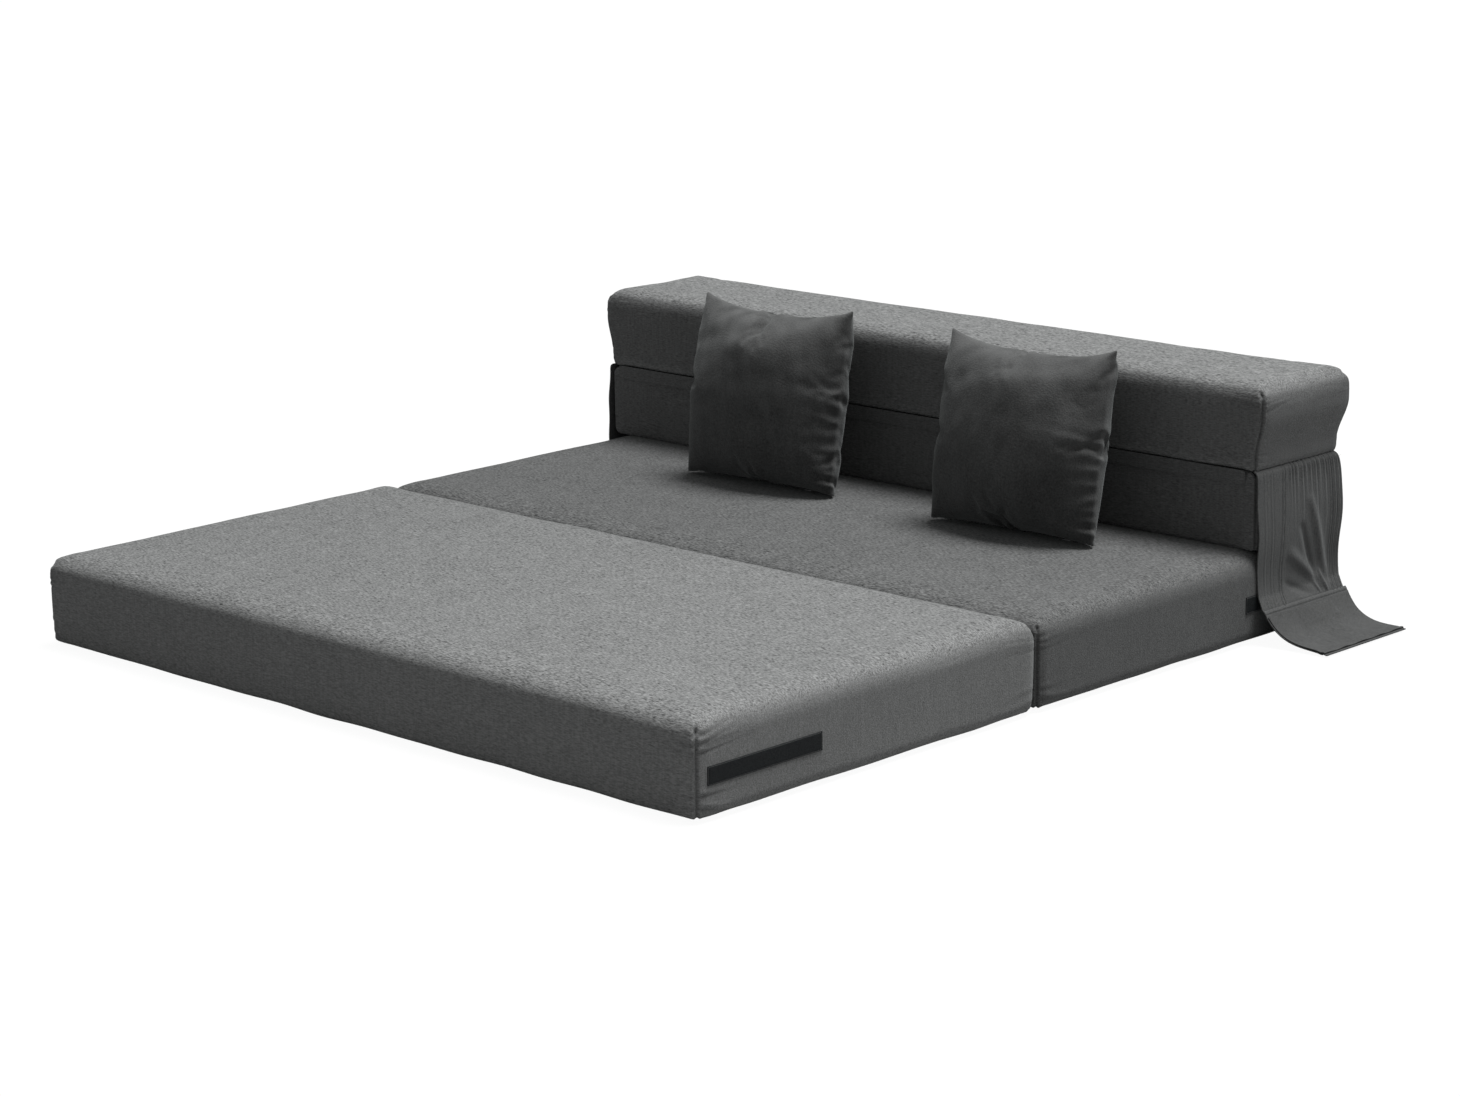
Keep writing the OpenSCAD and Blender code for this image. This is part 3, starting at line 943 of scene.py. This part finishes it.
# %% Three tapes
def stitch_lines(low, high, axis, side, inset, gap=0.004):
    """Rows of stitches along the long edges of a flat piece that faces along an axis."""
    face = high[axis] if side > 0 else low[axis]
    across = [i for i in (1, 2) if i != axis][0]
    rows = []
    for level in (low[across] + inset, low[across] + inset + gap,
                  high[across] - inset - gap, high[across] - inset):
        start, end = Vector((low.x + 0.004, 0, 0)), Vector((high.x - 0.004, 0, 0))
        outward = Vector()
        start[across] = end[across] = level
        start[axis] = end[axis] = face
        outward[axis] = side
        rows.append((start, end, outward))
    return rows


# The axis and side that each tape faces, the axis across it, the two bodies that it joins,
# the joint between them, and how far on each side of that joint the tape bends.
TAPES = {
    "front_hinge_tape": (2, -1, 1, "mid_seat", "front_seat", "front_fold", -0.007),
    "rear_hinge_tape": (1, 1, 2, "mid_seat", "lower_back", "back_unfold", 0.006),
    "backrest_hinge_tape": (1, -1, 2, "lower_back", "upper_back", "upper_unfold", 0.005),
}
for node, (axis, side, across, near_body, far_body, joint, reach) in TAPES.items():
    low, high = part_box(node)
    line = Vector(next(j["pos_m"] for j in frame["joints"] if j["name"] == joint))
    tape = patch(node + "_cloth", low, high, ((0, 50), (across, 36)), axis, side, 0.003, 0.0001)
    step = Vector()
    step[across] = reach
    finish = lower_cloth if node.startswith("backrest") else tape_cloth
    dress(smooth(tape, 50), finish)
    sewn = stitches(node + "_stitches", stitch_lines(low, high, axis, side, 0.005))
    for piece in (tape, sewn):
        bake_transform(piece)
    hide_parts(node)
    [part + "_cover_cloth" for part in BLOCKS]
    print(node, "triangles", tris(tape))

# %% [markdown]
# ## Non-slip cloth
# Under each seat panel a dark cloth with rubber dots keeps the sofa from sliding. It is a
# separate rectangle with a turned hem, so the flat slab gets rounded corners, a hem line
# inset all round, and two rows of stitches between that line and its edge.

# %% Two base cloths
BASE_CORNER = 0.018
for part in ("front", "mid"):
    node = part + "_base_cloth"
    low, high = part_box(node)
    cloth = box_between(node + "_sheet", low, high)
    edit_on(cloth, "EDGE", runs_along(2), bevel(BASE_CORNER, 5))
    edit_on(cloth, "FACE", faces_along(2, -1), inset(0.0012), inset(0.012), inset(0.0015, -0.0009))
    apply_modifier(cloth, "BEVEL", width=0.0008, segments=2, limit_method="ANGLE")
    dress(smooth(cloth), non_slip)
    rows = []
    for line in (0.005, 0.010):
        a, b, c, d = low.x + line, high.x - line, low.y + line, high.y - line
        rows += [((a + BASE_CORNER, y, low.z), (b - BASE_CORNER, y, low.z), (0, 0, -1))
                 for y in (c, d)]
        rows += [((x, c + BASE_CORNER, low.z), (x, d - BASE_CORNER, low.z), (0, 0, -1))
                 for x in (a, b)]
    sewn = stitches(node + "_stitches", rows)
    set_points(sewn, points(sewn) + [0, 0, THREAD_R * 0.6])
    for piece in (cloth, sewn):
        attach(piece, BODY_OF[part])
    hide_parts(node)
    part + "_cover_cloth"
print("base cloth triangles", tris(cloth))

# %% [markdown]
# ## Side flaps
# A flap is sewn into the end seam of the upper block and hangs down the side, so that its
# hidden loop patches can grip the hook strips. It isn't flat: the seam gathers it at the
# top, one tuck closes off its plain front third, three tucks run down beside its rear edge,
# and the slack cloth low in the middle falls in slanting folds. Each sheet starts
# as a grid, and its points are laid along a curve of the side view and pushed in and out
# of it. A Solidify modifier gives the cloth its thickness.

# %% Curves of the flap and cuff in the side view
FLAP_TOP, SEAM_START = np.array([0.9671, 0.3708]), np.array([0.9911, 0.0720])
SEAM_END, CUFF_TIP = np.array([0.99852, 0.06013]), np.array([1.1511, 0.0050])
flap_low, flap_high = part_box("flap_right")
FLAP_FRONT, FLAP_REAR = flap_low.y, flap_high.y


def flap_curve(s):
    return np.column_stack([FLAP_TOP[0] + 0.024 * s ** 1.5,
                            FLAP_TOP[1] + (SEAM_START[1] - FLAP_TOP[1]) * s])


def seam_curve(s):
    return SEAM_START + np.outer(s, SEAM_END - SEAM_START)


def cuff_curve(s):
    return np.column_stack([SEAM_END[0] + (CUFF_TIP[0] - SEAM_END[0]) * s,
                            CUFF_TIP[1] + (SEAM_END[1] - CUFF_TIP[1]) * (1 - s) ** 4])


# %% A cloth grid laid along a curve
def face_outwards(piece):
    edit_on(piece, "FACE", lambda face: True,
            lambda: bpy.ops.mesh.normals_make_consistent(inside=False))


def hung_sheet(name, curve, span, size, relief, thickness, side, edge=None, margin=0.0,
               lines=None):
    """span is the stretch of the curve used, and size the faces along Y and down the curve.
    relief(u, s) stands out from the curve and edge(u, s) moves points along Y, both in
    metres, for u from 0 at the front edge to 1 at the rear one. lines(u, s) is how much
    painted shade darkens the cloth in its creases, from 0 to 1."""
    select_only()
    bpy.ops.mesh.primitive_grid_add(x_subdivisions=size[0], y_subdivisions=size[1], size=1)
    piece = named(name)
    grid = points(piece)
    u, s = grid[:, 0] + 0.5, grid[:, 1] + 0.5
    down = span[0] + (span[1] - span[0]) * s
    place, ahead = curve(down), curve(down + 1e-3)
    way = ahead - place
    way /= np.linalg.norm(way, axis=1)[:, None]
    out = np.column_stack([-way[:, 1], way[:, 0]])
    place = place + out * relief(u, s)[:, None]
    depth = FLAP_FRONT + margin + (FLAP_REAR - FLAP_FRONT - 2 * margin) * u
    if edge is not None:
        depth = depth + edge(u, s)
    set_points(piece, np.column_stack([place[:, 0], depth, place[:, 1]]))
    # Painted shade along the sheet's creases, tucks and seams.
    shade = np.zeros(len(u)) if lines is None else np.clip(lines(u, s), 0, 1)
    face_outwards(piece)
    apply_modifier(piece, "SOLIDIFY", thickness=thickness, offset=0.0)
    store(piece, "seam", np.tile(shade, len(piece.data.vertices) // len(shade)))
    if side < 0:
        set_points(piece, points(piece) * [-1, 1, 1])
    face_outwards(piece)
    return smooth(piece, 60)


# Across a sheet u runs from 0 at its front edge to 1 at its rear one, and s runs down it.
# A tuck leans from its u at the top to its u at the bottom, and a hem line is upright. A
# gather has its u, how far down it fades and its height. A slanting fold has its ends as
# (u, s), its width and its height.
TUCKS = ((0.31, 0.255), (0.865, 0.865), (0.915, 0.912), (0.962, 0.958))
HEMS = (0.085, 0.165)
GATHERS = ((0.39, 0.20, 1.0), (0.425, 0.30, 1.0), (0.47, 0.22, 0.8), (0.53, 0.34, 1.0),
           (0.575, 0.20, 0.8), (0.63, 0.26, 1.0), (0.69, 0.38, 1.0), (0.74, 0.24, 0.8),
           (0.80, 0.44, 1.0))
FOLDS = (((0.62, 0.30), (0.86, 0.97), 0.040, 0.0050), ((0.40, 0.66), (0.84, 0.98), 0.045, 0.0060),
         ((0.52, 0.48), (0.74, 0.99), 0.030, -0.0045), ((0.34, 0.86), (0.62, 0.99), 0.030, -0.0035),
         ((0.74, 0.84), (0.80, 1.00), 0.014, 0.0035), ((0.66, 0.90), (0.72, 1.00), 0.012, 0.0030))


def tuck_at(ends, s):
    """Where a tuck that leans from its place at the top to that at the bottom is."""
    return ends[0] + (ends[1] - ends[0]) * s


def fold_along(u, s, start, end, width):
    """A soft ridge between two points of the sheet, 1 high along its middle."""
    start, way = np.array(start), np.array(end) - np.array(start)
    from_start = np.column_stack([u, s]) - start
    along = np.clip(from_start @ way / (way @ way), 0, 1)
    off = np.hypot(*(from_start - np.outer(along, way)).T)
    return bump_at(off, width) * np.sin(math.pi * np.clip(0.15 + 0.85 * along, 0, 1)) ** 0.6


def flap_relief(u, s):
    gathers = sum(0.0030 * rise * np.exp(-s / reach * 2) * (bump_at(u - at, 0.012)
                                                            - 0.8 * bump_at(u - at - 0.021, 0.009))
                  for at, reach, rise in GATHERS)
    tucks = sum(0.0016 * bump_at(u - tuck_at(t, s), 0.009)
                - 0.0015 * bump_at(u - tuck_at(t, s) - 0.014, 0.006) for t in TUCKS)
    hems = sum(0.0005 * bump_at(u - h, 0.012) - 0.0006 * bump_at(u - h - 0.012, 0.006)
               for h in HEMS)
    folds = sum(rise * fold_along(u, s, start, end, width)
                for start, end, width, rise in FOLDS)
    belly = 0.004 * bump_at(s - 0.30, 0.20) * (0.2 + 0.8 * u) - 0.012 * bump_at(s - 0.84, 0.24)
    belly = belly * np.clip((1 - s) / 0.10, 0, 1) ** 0.7
    tuck_in = -0.0100 * np.exp(-s / 0.012)
    return gathers + tucks + hems + folds * np.clip((1 - s) / 0.03, 0, 1) + belly + tuck_in


# Painted shade in the tuck and hem creases, under the gathers and along the top and bottom seams.
def flap_lines(u, s):
    tucks = sum(0.9 * bump_at(u - tuck_at(t, s) - 0.012, 0.007) for t in TUCKS)
    hems = sum(0.35 * bump_at(u - h - 0.010, 0.006) for h in HEMS)
    gathers = sum(0.8 * rise * np.exp(-s / reach * 2) * bump_at(u - at - 0.020, 0.007)
                  for at, reach, rise in GATHERS)
    return tucks + hems + gathers + 0.9 * bump_at(s, 0.012) + 0.9 * bump_at(1 - s, 0.012)


def flap_edge(u, s):
    rear = (0.004 * bump_at(s - 0.30, 0.20) - 0.007 * bump_at(s - 0.90, 0.25)
            - 0.012 * np.exp(-s / 0.06))
    return u ** 4 * rear + 0.0015 * np.sin(s * 17.0) * (2 * u - 1) ** 2


def cuff_lines(u, s):
    """A narrow band under the seam is sewn down on its three other sides. Painted shade
    follows the band's stitched outline, the seam at the top and a line near the tip, and the
    band itself is painted a little darker.
    """
    inside = (u > 0.34) & (u < 0.76) & (s < 0.20)
    band = np.maximum(bump_at(s - 0.19, 0.012) * (np.abs(u - 0.55) < 0.21),
                      (bump_at(u - 0.34, 0.008) + bump_at(u - 0.76, 0.008)) * (s < 0.20))
    return band + 0.30 * inside + 0.7 * bump_at(s, 0.02) + 0.5 * bump_at(s - 0.93, 0.008)


def cuff_relief(u, s):
    waves = 0.0045 * s * (1 - s) * 4 * np.sin(u * 2 * math.pi * 1.6 + 0.8 + 1.5 * s)
    waves = np.maximum(waves, -0.0030 * (1 - s))
    edge = 0.0013 * bump_at(s - 0.94, 0.02) - 0.0006 * bump_at(s - 0.90, 0.02)
    band = (0.0012 * (np.abs(u - 0.55) < 0.21)
            * np.clip((0.20 - s) / 0.01, 0, 1) * np.clip(s / 0.02, 0, 1))
    return waves * np.minimum(1, (1 - s) * 6) + edge + band + 0.0006


def facing_relief(u, s):
    lift = 0.0028 + 0.0018 * np.sin(u * 2 * math.pi * 2.3 + 1.0) ** 2 * bump_at(s - 0.9, 0.25)
    return cuff_relief(u, s * 0.97) + lift

# %% Flaps with their stitches
def follow(name, sheet, rows, side):
    """Stitch rows that are laid on the outer face of a hung sheet."""
    sewn = stitches(name, rows)
    lay_on(sewn, sheet, 0, side, side * abs(rows[0][0][0]), 0.08)
    return sewn


def seam_relief(u, s):
    return 0.0012 * np.sin(math.pi * s) ** 0.5 * (1 - 0.9 * bump_at(s - 0.5, 0.10))


SEWN_TOP, SEWN_LOW, EDGE_SEAM = 0.364, 0.078, 0.006
width = FLAP_REAR - FLAP_FRONT
tuck_seams = [[FLAP_FRONT + width * (u - 0.012) for u in ends]
              for ends in TUCKS + tuple((u, u) for u in HEMS)]
seams = tuck_seams + [[y, y] for y in (FLAP_FRONT + EDGE_SEAM, FLAP_REAR - EDGE_SEAM)]
for hand, side in SIDES:
    flap = hung_sheet(f"flap_{hand}_cloth", flap_curve, (0.0, 1.0), (150, 84), flap_relief,
                      0.0024, side, flap_edge, lines=flap_lines)
    dress(flap, flap_cloth)
    x = side * 0.99
    rows = [((x, top, SEWN_TOP), (x, low, SEWN_LOW), (side, 0, 0)) for top, low in seams]
    sewn = follow(f"flap_{hand}_stitches", flap, rows, side)
    # The cuff seam gets painted shade along its middle.
    seam = hung_sheet(f"cuff_seam_{hand}_cloth", seam_curve, (-0.12, 1.12), (96, 12),
                      seam_relief, 0.0030, side, lines=lambda u, s: 0.8 * bump_at(s - 0.5, 0.14))
    dress(seam, flap_cloth)
    cuff = hung_sheet(f"cuff_{hand}_cloth", cuff_curve, (0.0, 1.0), (120, 64), cuff_relief,
                      0.0022, side, lambda u, s: 0.004 * s * np.sin(u * 9 + 2), lines=cuff_lines)
    facing = hung_sheet(f"cuff_{hand}_facing", cuff_curve, (0.0, 0.965), (84, 44), facing_relief,
                        0.0018, side, lambda u, s: 0.003 * s * np.sin(u * 12), 0.003)
    flap_patch = hung_sheet(f"flap_{hand}_loop_tape", flap_curve, (0.85, 0.97), (40, 6),
                            lambda u, s: flap_relief(u, 0.85 + 0.12 * s) - 0.0025, 0.0012, side,
                            margin=0.008)
    cuff_patch = hung_sheet(f"cuff_{hand}_loop_tape", cuff_curve, (0.68, 0.90), (40, 8),
                            lambda u, s: cuff_relief(u, 0.68 + 0.22 * s) - 0.0024, 0.0012, side,
                            margin=0.008)
    for piece, finish in ((cuff, cuff_cloth), (facing, cuff_cloth), (flap_patch, loop_tape),
                          (cuff_patch, loop_tape)):
        dress(piece, finish)
    for piece in (flap, sewn):
        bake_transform(piece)
    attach(flap_patch, f"flap_{hand}")
    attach(seam, f"cuff_seam_{hand}")
    for piece in (cuff, facing, cuff_patch):
        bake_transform(piece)
    for piece, node, name in ((flap, "flap_", "flap_cloth"), (seam, "cuff_seam_", "flap_cloth"),
                              (cuff, "cuff_", "flap_cloth"),
                              (flap_patch, "flap_loop_patch_", "hook_tape"),
                              (cuff_patch, "cuff_loop_patch_", "hook_tape")):
        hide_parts(node + hand)
    print("flap", hand, tris(flap), "cuff", tris(cuff))

# %% [markdown]
# ## Cushions
# A loose cushion is two squares of cloth sewn round the edge and stuffed. When it fills,
# the middle rises, the edges are drawn in and pucker, and the corners stay behind as
# pointed ears, and Blender's Cloth finds all that from two flat nets and some pressure. The
# stuffing of a real cushion keeps its sides straighter than air would, so afterwards the
# outline is eased back out to the size of its solid, and the folds of a cushion that has
# been leant on are pushed into the side that takes the weight.

# %% Blow up a pillow case
CUSHION_CUTS = 54


def blown_cushion(name, size, seed):
    width, height = size
    case = box_between(name, (-width / 2, -0.003, -height / 2), (width / 2, 0.003, height / 2))
    for axis in (0, 2):
        edit_on(case, "EDGE", runs_along(axis), subdivide(CUSHION_CUTS))
    flat = points(case)
    rim = np.maximum(np.abs(flat[:, 0]) / (width / 2), np.abs(flat[:, 2]) / (height / 2)) > 0.999
    dome = np.clip(1 - (2 * flat[:, 0] / width) ** 2, 0, 1)
    dome *= np.clip(1 - (2 * flat[:, 2] / height) ** 2, 0, 1)
    lift, power = ((0.030, 1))
    flat[:, 1] += np.sign(flat[:, 1]) * lift * dome ** power
    flat[:, 1] += 0.0015 * wave_noise(flat, 0.08, seed) * dome
    set_points(case, flat)
    inflate(case, 12.0, 0.5, frames=30, stiffness=60.0, bending=0.2, quality=6)
    return case, flat, rim


# %% Ease the outline back to size
def ease_outline(case, flat, rim, size):
    """Straightens the drawn-in edges, more at the rim than in the middle."""
    places = points(case)
    half_w, half_h = size[0] / 2, size[1] / 2
    for axis, other, half, pull in ((0, 2, half_w, (0.0035, 0.0035)),
                                    (2, 0, half_h, (0.008, 0.030))):
        span = np.abs(flat[:, other]).max()
        extent = np.abs(flat[:, axis]).max()
        for sign in (-1, 1):
            edge = rim & (flat[:, axis] * sign > extent * 0.999)
            order = np.argsort(flat[edge, other])
            across = flat[edge, other][order]
            reach = (places[edge, axis] * sign)[order]
            smoothed = np.convolve(np.pad(reach, 6, "edge"), np.ones(13) / 13, "valid")
            here = np.interp(flat[:, other], across, smoothed)
            ears = np.clip(1 - np.abs(flat[:, other] / span) ** 3, 0, 1)
            dip = pull[0] if sign < 0 else pull[1]
            wanted = half - dip * ears - 0.003
            share = np.clip(flat[:, axis] * sign / extent, 0, 1)
            places[:, axis] += sign * (wanted - here) * share ** 1.4
    set_points(case, places)


# %% Folds of a cushion that has been leant on
def cushion_folds(places, flat, seed):
    """How far each point stands out: folds that run in from the right edge, a pinch at the
    lower right, short puckers at the left edge and a shallow hollow across the top."""
    draw = np.random.default_rng(seed)
    front = places[:, 1] < 0
    u, v = flat[:, 0] / np.abs(flat[:, 0]).max(), flat[:, 2] / np.abs(flat[:, 2]).max()
    out = np.zeros(len(places))
    for level in np.linspace(-0.78, 0.06, 7):
        level += draw.uniform(-0.04, 0.04)
        reach, slope = draw.uniform(0.14, 0.34), draw.uniform(-0.25, 0.35)
        width = draw.uniform(0.018, 0.030)
        fade = np.exp(-(1 - u) / reach) * np.clip((1 - u) / 0.03, 0, 1)
        away = v - level - slope * (1 - u)
        out += (fade * (bump_at(away, width + 0.06 * (1 - u))
                        - 0.8 * bump_at(away - 0.05, width + 0.05 * (1 - u)))
                * draw.uniform(0.0030, 0.0055))
    pinch = v + 0.83 - 0.30 * (1 - u)
    out += np.clip(1.25 - (1 - u) / 0.34, 0, 1) * (0.008 * bump_at(pinch + 0.045, 0.035)
                                                   - 0.010 * bump_at(pinch, 0.022)) * (u > 0.3)
    for level in np.linspace(-0.6, 0.6, 5):
        level += draw.uniform(-0.08, 0.08)
        fade = np.exp(-(1 + u) / draw.uniform(0.08, 0.16)) * np.clip((1 + u) / 0.03, 0, 1)
        out += fade * bump_at(v - level, 0.035) * draw.uniform(0.001, 0.003)
    slope_fold = bump_at((v - 0.62) - 0.25 * (u + 0.1), 0.10) * np.clip(1 - np.abs(u) * 0.8, 0, 1)
    out -= 0.004 * slope_fold
    return out * front


CUSHION_SIZE, CUSHION_CUT = (0.445, 0.425), (0.475, 0.460)
LEAN = Matrix.Rotation(math.radians(2), 4, "Z") @ Matrix.Rotation(math.radians(-10.5), 4, "X")
LEANT = {hand: Matrix.Translation((x, 0.5335, 0.4079)) @ LEAN
         for hand, x in (("left", -0.285), ("right", 0.461))}
SEAT_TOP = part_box("mid_cover")[1].z + 0.002
BACK_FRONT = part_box("upper_back_cover")[0].y - 0.002


def soft_stop(values, plane, side, ease=0.004, over=0.02):
    """Values that ease off before a plane and never pass it, seen from the given side."""
    past = side * (plane - values) + ease
    return np.where(past > 0, plane + side * ease * np.exp(-past / over), values)


def make_cushion(hand, seed):
    body = "cushion_" + hand
    case, flat, rim = blown_cushion(f"cushion_{hand}_case_cloth", CUSHION_CUT, seed)
    ease_outline(case, flat, rim, CUSHION_SIZE)
    out = cushion_folds(points(case), flat, seed)
    set_points(case, points(case) + normals(case) * out[:, None])
    rim_line = points(case)[rim & (flat[:, 2] < -CUSHION_CUT[1] * 0.499)]
    insert = copy_of(case, f"cushion_{hand}_inner_bag")
    set_points(insert, points(insert) * [0.955, 1, 0.955] - normals(insert) * 0.004)
    # Painted light: the front of the case is painted lighter towards the top, unevenly, and the rim
    # seam gets a painted highlight.
    painted_light = np.clip((points(case)[:, 2] + 0.17) / 0.36, 0, 1) ** 1.3
    painted_light *= 0.7 + 0.3 * wave_noise(points(case), 0.06, seed + 1)
    painted_light *= points(case)[:, 1] < 0.02
    store(case, "painted_light", np.clip(np.maximum(painted_light, 0.9 * rim), 0, 1))
    store(case, "seam", np.zeros(len(flat)))
    for piece in (case, insert):
        piece.matrix_world = LEANT[hand]
        settle(piece)
    apply_modifier(case, "SUBSURF", levels=1, render_levels=1)
    for piece, gap in ((case, 0.0), (insert, 0.006)):
        places = points(piece)
        places[:, 2] = soft_stop(places[:, 2], SEAT_TOP + gap, 1)
        places[:, 1] = soft_stop(places[:, 1], BACK_FRONT - gap, -1)
        set_points(piece, places)
        smooth_all(piece)
        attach(piece, body)
    dress(case, cushion_cloth)
    dress(insert, inner_bag)
    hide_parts("cushion_case_" + hand)
    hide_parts("cushion_insert_" + hand)
    print("cushion", hand, tris(case), "box", [round(x, 3) for x in np.ptp(points(case), axis=0)])
    return case, rim_line


# %% [markdown]
# ## Cushion zips
# The bottom edge of each case holds a fine coil zip, which is all but lost in the seam. Its
# teeth follow the line of the blown-up rim, so they are set on that line one by one.

# %% Both cushions with their zips
CASE_ZIP, COIL_PITCH, CASE_SLIDER_X = 0.365, 0.0026, 0.1525
for hand, seed in (("left", 5), ("right", 17)):
    case, rim_line = make_cushion(hand, seed)
    rim_line = rim_line[np.argsort(rim_line[:, 0])]

    def on_rim(x, scale):
        """The turn and place of something sewn into the bottom edge, upside down."""
        y, z = (np.interp(x, rim_line[:, 0], rim_line[:, k]) for k in (1, 2))
        return (LEANT[hand] @ Matrix.Translation((x, y, z)) @ Matrix.Rotation(math.pi, 4, "X")
                @ Matrix.Scale(scale, 4))

    spots = []
    for number in range(int(CASE_ZIP / COIL_PITCH)):
        x = -CASE_ZIP / 2 + (number + 0.5) * COIL_PITCH
        spots.append(on_rim(x, 0.75) @ Matrix.Rotation((number % 2) * math.pi, 4, "Z"))
    coil = smooth(dress(repeat(f"cushion_{hand}_zip", one_tooth(), spots), zip_tape))
    places = points(coil)
    places[:, 2] = np.maximum(places[:, 2], SEAT_TOP)
    set_points(coil, places)
    slider = flat_slider(f"cushion_{hand}_slider")
    slider.matrix_world = on_rim(CASE_SLIDER_X, 0.55)
    settle(slider)
    places = points(slider)
    places[:, 2] = np.maximum(places[:, 2], SEAT_TOP - 0.001)
    set_points(slider, places)
    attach(coil, "cushion_" + hand)
    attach(slider, "cushion_slider_" + hand)
    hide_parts("cushion_zip_chain_" + hand)
    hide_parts("cushion_zip_slider_" + hand)

# %% [markdown]
# ## Studio
# The sofa stands in an even white studio. One broad, high light makes the tops the
# brightest faces and leaves the fronts to the light that comes back from the floor, and it
# leans a little to the rear and right, so the right ends are lighter than the fronts. The
# floor is a pale sheet that is nearly as bright as the backdrop, so only a faint shadow
# shows on it. It is thin to the eye, because a seat panel that folds under the sofa lies
# below it and should still be seen.

# %% Light
select_only()
bpy.ops.object.light_add(type="SUN", location=(0, 0, 4))
key_light = named("key_light")
key_light.data.energy = 3.35
key_light.data.angle = math.radians(25)
key_light.rotation_euler = Vector((0.145, 0.22, 0.95)).to_track_quat("Z", "Y").to_euler()


# %% Floor and backdrop
def camera_share(tree, for_camera, for_others):
    """A number that is for_camera where the eye looks, and for_others to bounced light."""
    path = tree.nodes.new("ShaderNodeLightPath")
    number = tree.nodes.new("ShaderNodeMath")
    number.operation = "MULTIPLY_ADD"
    tree.links.new(path.outputs["Is Camera Ray"], number.inputs[0])
    number.inputs[1].default_value = for_camera - for_others
    number.inputs[2].default_value = for_others
    return number.outputs[0]


bpy.ops.mesh.primitive_plane_add(size=60)
floor = named("floor")
floor.visible_shadow = False
floor_paint = bpy.data.materials.new("floor_paint")
floor_paint.use_nodes = True
tree = floor_paint.node_tree
tree.nodes.clear()
seen_through = tree.nodes.new("ShaderNodeBsdfTransparent")
paint = tree.nodes.new("ShaderNodeBsdfDiffuse")
cover_share = tree.nodes.new("ShaderNodeMixShader")
surface = tree.nodes.new("ShaderNodeOutputMaterial")
paint_level = tree.nodes.new("ShaderNodeCombineColor")
level = camera_share(tree, 0.90, 0.28)
for socket in paint_level.inputs[:3]:
    tree.links.new(level, socket)
tree.links.new(paint_level.outputs[0], paint.inputs["Color"])
tree.links.new(camera_share(tree, 0.08, 1.0), cover_share.inputs[0])
tree.links.new(seen_through.outputs[0], cover_share.inputs[1])
tree.links.new(paint.outputs[0], cover_share.inputs[2])
tree.links.new(cover_share.outputs[0], surface.inputs[0])
floor.data.materials.append(floor_paint)
floor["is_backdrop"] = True

backdrop = bpy.data.worlds.new("studio")
bpy.context.scene.world = backdrop
backdrop.use_nodes = True
glow = backdrop.node_tree.nodes["Background"]
glow.inputs["Color"].default_value = (1, 1, 1, 1)
backdrop.node_tree.links.new(camera_share(backdrop.node_tree, 1.03, 0.22), glow.inputs["Strength"])
bpy.context.scene.view_settings.view_transform = "Standard"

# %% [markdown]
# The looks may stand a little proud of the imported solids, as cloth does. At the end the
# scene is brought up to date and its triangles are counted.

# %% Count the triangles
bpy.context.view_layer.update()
print("triangles in all", sum(tris(piece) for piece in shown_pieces()))
